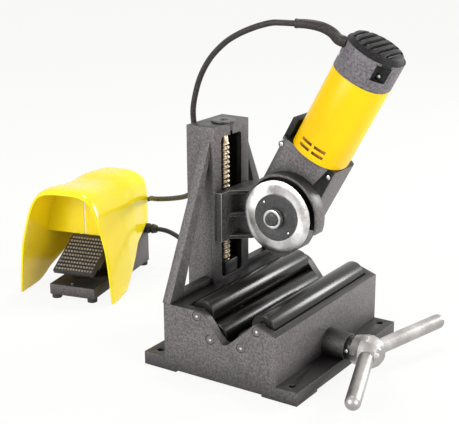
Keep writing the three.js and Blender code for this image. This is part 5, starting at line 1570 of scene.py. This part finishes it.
@dataclass
class Motor:
    """Barrel and end cap of the motor, in the leaning frame.

    Attributes:
        shop: Where the pieces are made.
        radius: Radius of the barrel.
        vents: Lowest and highest corners of the space that holds the vents.
        vent_depth: How far below the surface a face belongs to a vent's inside.
        dome: Where the cap's black dome starts, and its end.
        slots: Number of the dome's slots.
        slots_across: Width of all slots, as a share of the radius.
        fin: Half width, half height and depth of a slot's fin.
        recess: Lowest and highest corners of the cap's hollow.
        recess_edge: How far below the surface the hollow gets painted shade, black.
        screws: Seat and direction of each of the cap's screws.
        screw_seat: Radius of a seat, its foot and its top.
        screw_size: Radius and height of a screw's head.
    """

    shop: Workshop
    radius: float = 35.6 * MM
    vents: tuple[Point, Point] = ((-math.inf, -math.inf, 90), (math.inf, -20, 108))
    vent_depth: float = 1.2 * MM
    dome: Pair = (224.5 * MM, 237.6 * MM)
    slots: int = 6
    slots_across: float = 1.5
    fin: Point = (0.8 * MM, 1.6 * MM, 4.2 * MM)
    recess: tuple[Point, Point] = ((19.5, -42.8, 206.7), (42.8, -15.9, 226.0))
    recess_edge: float = 1.5 * MM
    screws: tuple[tuple[Point, Point], ...] = (
        ((-27.4, -22.4, 208.5), (-0.77, -0.63, 0)),
        ((22.5, -15.9, 210.5), (0, -1, 0)),
    )
    screw_seat: Point = (3.6 * MM, -2.5 * MM, 0.7 * MM)
    screw_size: Pair = (2.5 * MM, 1.5 * MM)

    def sunk(self, faces: Faces, depth: float) -> np.ndarray:
        """Tells which faces lie deeper than a depth below the barrel's surface."""
        place = LEANING.back(faces.middles)
        return np.hypot(place[:, 0], place[:, 1]) < self.radius - depth

    def barrel(self) -> None:
        """Makes the barrel, with painted shade, orange-brown, inside its vents."""

        def vent(faces: Faces) -> np.ndarray:
            """Tells which faces are floors or walls of the vents."""
            wall = np.abs(faces.normals[:, 1]) < 0.3
            return within(faces, *self.vents) & (self.sunk(faces, self.vent_depth) | wall)

        self.shop.eased("motor_barrel", 0.4 * MM, MOTOR_YELLOW, zones=((VENT_SHADE, vent),))

    def end_cap(self) -> None:
        """Makes the cap with a grey collar and a black dome, painted shade, black, in its hollow,
        and a thin fin in each slot.
        """

        def dome(faces: Faces) -> np.ndarray:
            """Tells which faces are on the dome."""
            return LEANING.back(faces.middles)[:, 2] > self.dome[0]

        def hollow(faces: Faces) -> np.ndarray:
            """Tells which faces are inside the cap's hollow."""
            return within(faces, *self.recess) & self.sunk(faces, self.recess_edge)

        # The hollow is painted black as shade.
        zones = ((CAP_BLACK, dome), (CAP_BLACK, hollow))
        self.shop.eased("motor_end_cap", 0.5 * MM, CAP_GREY, zones=zones)
        width, height, depth = self.fin
        pitch = self.radius * self.slots_across / self.slots
        x = (np.arange(self.slots) - (self.slots - 1) / 2) * pitch
        reach = np.sqrt((0.86 * self.radius) ** 2 - x**2) * 0.8
        same = np.ones(self.slots)
        centres = np.stack([x, 0 * same, (self.dome[1] - depth) * same], axis=1)
        fins = boxes(centres, np.stack([width * same, reach, height * same], axis=1), 0.9)
        self.shop.piece("end_cap_fins", [fins.moved(LEANING)], "head", (CAP_GREY,))

    def cap_screws(self) -> None:
        """Makes the cap's two screws, each on a dark seat."""
        seats, heads = seated_screws(self.screws, self.screw_seat, self.screw_size, Drive.CROSS)
        self.shop.piece("end_cap_screw_seats", seats, "head", (CAP_BLACK,))
        self.shop.piece("end_cap_screws", heads, "head", (BRIGHT_STEEL,))

    def build(self) -> None:
        """Makes the motor."""
        self.barrel()
        self.end_cap()
        self.cap_screws()


@dataclass
class FootSwitch:
    """Base, pedal and hood of the foot switch, in its own frame.

    Attributes:
        shop: Where the pieces are made.
        length: Length of the hood.
        half: Half of the hood's greatest width.
        height: Height of the hood.
        wall: Thickness of the hood's wall.
        lip: Rounding of the wall's edge.
        rows: Sections along the hood.
        around: Points on each side of a section.
        stations: Along, middle, half width, foot, roof and squareness, as shares, front to rear.
        front_arch: Across and up of the front section's side, as shares.
        rear_arch: The same for the rear section.
        web: Where the cross wall stands, its foot, and the top of its slit.
        slit: Middle and width of the slit.
        highlight_strip: How far behind the wall's front the pale strip, a painted highlight, starts
            and ends.
        rib_offset: Distance of the ribs from the middle.
        rib_top: Their top.
        block: Front and top of the block below them.
        stud_steps: Studs on each side of the middle, and ribs with studs.
        stud_pitch: Distance between studs, and between ribs.
        stud_size: Half sizes of a stud.
        stud_height: Height of a stud's middle over the pedal's underside.
        stud_taper: Width of a stud's top as a share of its foot's.
        tray_screw: Seat of the tray's screw, and radius and height of its head.
    """

    shop: Workshop
    length: float = 178 * MM
    half: float = 73 * MM
    height: float = 155.5 * MM
    wall: float = 3 * MM
    lip: float = 0.7 * MM
    rows: int = 46
    around: int = 22
    stations: tuple[tuple[float, ...], ...] = (
        (0, -0.164, 1, 0.005, 0.965, 0),
        (0.034, -0.164, 1, 0.005, 0.994, 0),
        (0.112, -0.164, 0.998, 0.006, 1, 0),
        (0.258, -0.164, 0.973, 0.019, 0.981, 0.1),
        (0.326, -0.16, 0.945, 0.058, 0.968, 0.15),
        (0.393, -0.155, 0.918, 0.116, 0.96, 0.25),
        (0.522, -0.144, 0.836, 0.199, 0.958, 0.45),
        (0.601, -0.13, 0.781, 0.277, 0.972, 0.6),
        (0.663, -0.123, 0.733, 0.334, 0.981, 0.7),
        (0.843, -0.082, 0.61, 0.389, 0.977, 0.95),
        (0.91, -0.075, 0.596, 0.434, 0.965, 1),
        (0.978, -0.068, 0.562, 0.437, 0.926, 1),
        (1, -0.068, 0.493, 0.444, 0.862, 1),
    )
    front_arch: tuple[Pair, ...] = (
        (1, 0), (0.97, 0.2), (0.945, 0.32), (0.905, 0.48), (0.8, 0.68),
        (0.69, 0.84), (0.555, 0.945), (0.4, 0.985), (0.2, 1), (0, 1),
    )  # fmt: skip
    rear_arch: tuple[Pair, ...] = (
        (1, 0), (1, 0.15), (1, 0.3), (1, 0.45), (0.99, 0.6),
        (0.96, 0.75), (0.85, 0.88), (0.62, 0.96), (0.3, 1), (0, 1),
    )  # fmt: skip
    web: Point = (64 * MM, 75.3 * MM, 127 * MM)
    slit: Pair = (-12 * MM, 2.4 * MM)
    highlight_strip: Pair = (0.8 * MM, 2 * MM)
    rib_offset: float = 17 * MM
    rib_top: float = 92 * MM
    block: Pair = (82 * MM, 64.3 * MM)
    stud_steps: tuple[int, int] = (6, 10)
    stud_pitch: Pair = (4.4 * MM, 6.6 * MM)
    stud_size: Point = (1.5 * MM, 1.6632 * MM, 0.75 * MM)
    stud_height: float = 6 * MM
    stud_taper: float = 0.75
    tray_screw: tuple[Point, float, float] = ((-3.0, 4.0, 21.0), 2.6 * MM, 1.4 * MM)

    def arch(self, corners: tuple[Pair, ...]) -> np.ndarray:
        """Returns across and up of a section's side at evenly spaced shares of its length."""
        curve = smooth_path(np.array(corners, float), 0.004)
        share, wanted = np.linspace(0, 1, len(curve)), np.linspace(0, 1, self.around)
        return np.stack([np.interp(wanted, share, line) for line in curve.T])

    def sections(self, inset: float = 0.0) -> np.ndarray:
        """Returns the hood's surface as rows of sections.

        The stations are joined by straight spans, their corners eased by a short running mean.
        Each section's side is the front arch blended with the rear arch by the squareness:
        x is middle plus or minus half times across, z is foot plus (roof less foot) times up.

        Args:
            inset: How far the surface lies inside the outer one.

        Returns:
            Rows, points round from one foot to the other, three coordinates.
        """
        table = np.array(self.stations)
        along, fine = np.linspace(0, 1, self.rows), np.linspace(0, 1, 400)
        near = 9
        mean = np.ones(2 * near + 1) / (2 * near + 1)
        ends = np.clip(np.minimum(fine, 1 - fine) / 0.03, 0, 1)
        columns = []
        for column in table.T[1:]:
            value = np.interp(fine, table[:, 0], column)
            eased = np.convolve(np.pad(value, near, mode="edge"), mean, mode="valid")
            columns.append(np.interp(along, fine, value + (eased - value) * ends))
        middle, half, foot, roof, square = (q[:, None] for q in columns)
        front, rear = self.arch(self.front_arch), self.arch(self.rear_arch)
        across, up = (front[k] + (rear[k] - front[k]) * square for k in (0, 1))
        reach = (half * self.half - inset) * across
        low = foot * self.height
        z = low + (roof * self.height - inset - low) * up
        centre = middle * self.half
        x = np.concatenate([centre + reach, (centre - reach)[:, -2::-1]], axis=1)
        z = np.concatenate([z, z[:, -2::-1]], axis=1)
        return np.stack([x, along[:, None] * (self.length - inset) + 0 * x, z], axis=-1)

    def inner_web(self) -> list[Shell]:
        """Returns the cross wall on both sides of its slit, the bridge over it, and the two ribs.

        The wall's rim follows the hood's section at its own distance, less half the wall.
        """
        y, foot, top = self.web
        rows = self.sections(inset=self.wall * 0.5)
        lines = [rows[:, k, axis] for k in range(rows.shape[1]) for axis in (0, 2)]
        rim = np.array([np.interp(y, rows[:, 0, 1], line) for line in lines]).reshape(-1, 2)
        rim = rim[rim[:, 1] > foot]
        plates = []
        middle, width = self.slit
        for side in (1, -1):
            edge = middle + side * width / 2
            part = rim[(rim[:, 0] - edge) * side > 1 * MM]
            part = part if side > 0 else part[::-1]
            outline = [[edge, foot], [part[0, 0], foot], *part, [edge, part[-1, 1]]]
            plates.append(slab(np.array(outline), y, y + self.wall))
        crown = rim[np.argmin(np.abs(rim[:, 0] - middle)), 1]
        bridge = oblong(middle - width, middle + width, top, crown)
        plates.append(slab(bridge, y + 0.1 * MM, y + self.wall - 0.1 * MM))
        block, block_top = self.block
        half = self.wall / 2
        for x in (-self.rib_offset, self.rib_offset):
            ahead = oblong(x - half, x + half, foot, self.rib_top)
            above = oblong(x - half, x + half, block_top, self.rib_top)
            plates.append(slab(ahead, y + half, block + 1 * MM))
            plates.append(slab(above, block, self.length - half))
        return [plate.moved(SWITCH) for plate in plates]

    def hood(self) -> None:
        """Makes the hood: a surface with a closed rear, a wall grown inwards, the cross wall, and a
        pale strip in its slit as a painted highlight.
        """
        points = self.sections()
        shell = net(points, closed=False)
        rows, columns = points.shape[:2]
        shell.faces.append(tuple(range((rows - 1) * columns, rows * columns)))
        node = "foot_switch_hood"
        shells = [shell.moved(SWITCH)]
        hood = self.shop.piece(f"{node}_dressed", shells, "machine", (HOOD_YELLOW,), (node,), 50)
        solidify = hood.modifiers.new("wall", "SOLIDIFY")
        solidify.thickness = self.wall
        solidify.offset = -1
        solidify.use_even_offset = True
        bevel = hood.modifiers.new("lip", "BEVEL")
        bevel.width = self.lip
        bevel.segments = 2
        bevel.limit_method = "ANGLE"
        bevel.angle_limit = math.radians(50)
        self.shop.piece("foot_switch_web", self.inner_web(), "machine", (HOOD_YELLOW,), smooth=30)
        y, foot, top = self.web
        middle, width = self.slit
        outline = oblong(middle - width / 2, middle + width / 2, foot, top)
        # A pale strip in the slit paints a highlight.
        highlight_strip = slab(outline, *(y + depth for depth in self.highlight_strip)).moved(SWITCH)
        self.shop.piece("foot_switch_slit_highlight", [highlight_strip], "machine", (SLIT_HIGHLIGHT,), smooth=30)

    def pedal(self) -> None:
        """Makes the pedal, and a stud at each step across and along its ribs."""
        # The pedal's rounded edges get the lighter plastic as a painted highlight.
        self.shop.eased("foot_pedal", 0.4 * MM, PEDAL_DARK, DARK_PLASTIC)
        sideways, ribs = self.stud_steps
        across = np.arange(-sideways, sideways + 1) * self.stud_pitch[0]
        along = (np.arange(ribs) + 0.7) * self.stud_pitch[1]
        x, y = (q.ravel() for q in np.meshgrid(across, along))
        centres = np.stack([x, y, np.full(x.size, self.stud_height)], axis=1)
        studs = boxes(centres, np.array(self.stud_size), self.stud_taper).moved(PEDAL).moved(SWITCH)
        self.shop.piece("pedal_studs", [studs], "pedal", (STUD_GREY,))

    def build(self) -> None:
        """Makes the foot switch."""
        self.shop.eased("foot_switch_base", 1.0 * MM, DARK_PLASTIC)
        self.pedal()
        place, radius, height = self.tray_screw
        spot = SWITCH.out(np.array(place) * MM)
        screw = screw_head(spot, (0, 0, 1), radius, height, Drive.CROSS)
        self.shop.piece("tray_screw", [screw], "machine", (BRIGHT_STEEL,))
        self.hood()
        self.shop.paint("pedal_pin", BRIGHT_STEEL)
        for corner in ("front_left", "front_right", "rear_left", "rear_right"):
            self.shop.eased(f"rubber_foot_{corner}", 0.5 * MM, CORD_RUBBER)


def main() -> None:
    """Builds the whole scene in order."""
    logging.basicConfig(level=logging.INFO, format="%(name)s: %(message)s")
    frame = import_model()
    Studio().build()
    shop = Workshop(frame)
    for kind in (Leads, RollerBed, ColumnSet, FeedHandle, CuttingHead, Motor, FootSwitch):
        kind(shop).build()
        LOG.info("%s built", kind.__name__)
    if shop.left:
        LOG.warning("no finish yet: %s", sorted(shop.left))


if __name__ == "__main__":
    main()
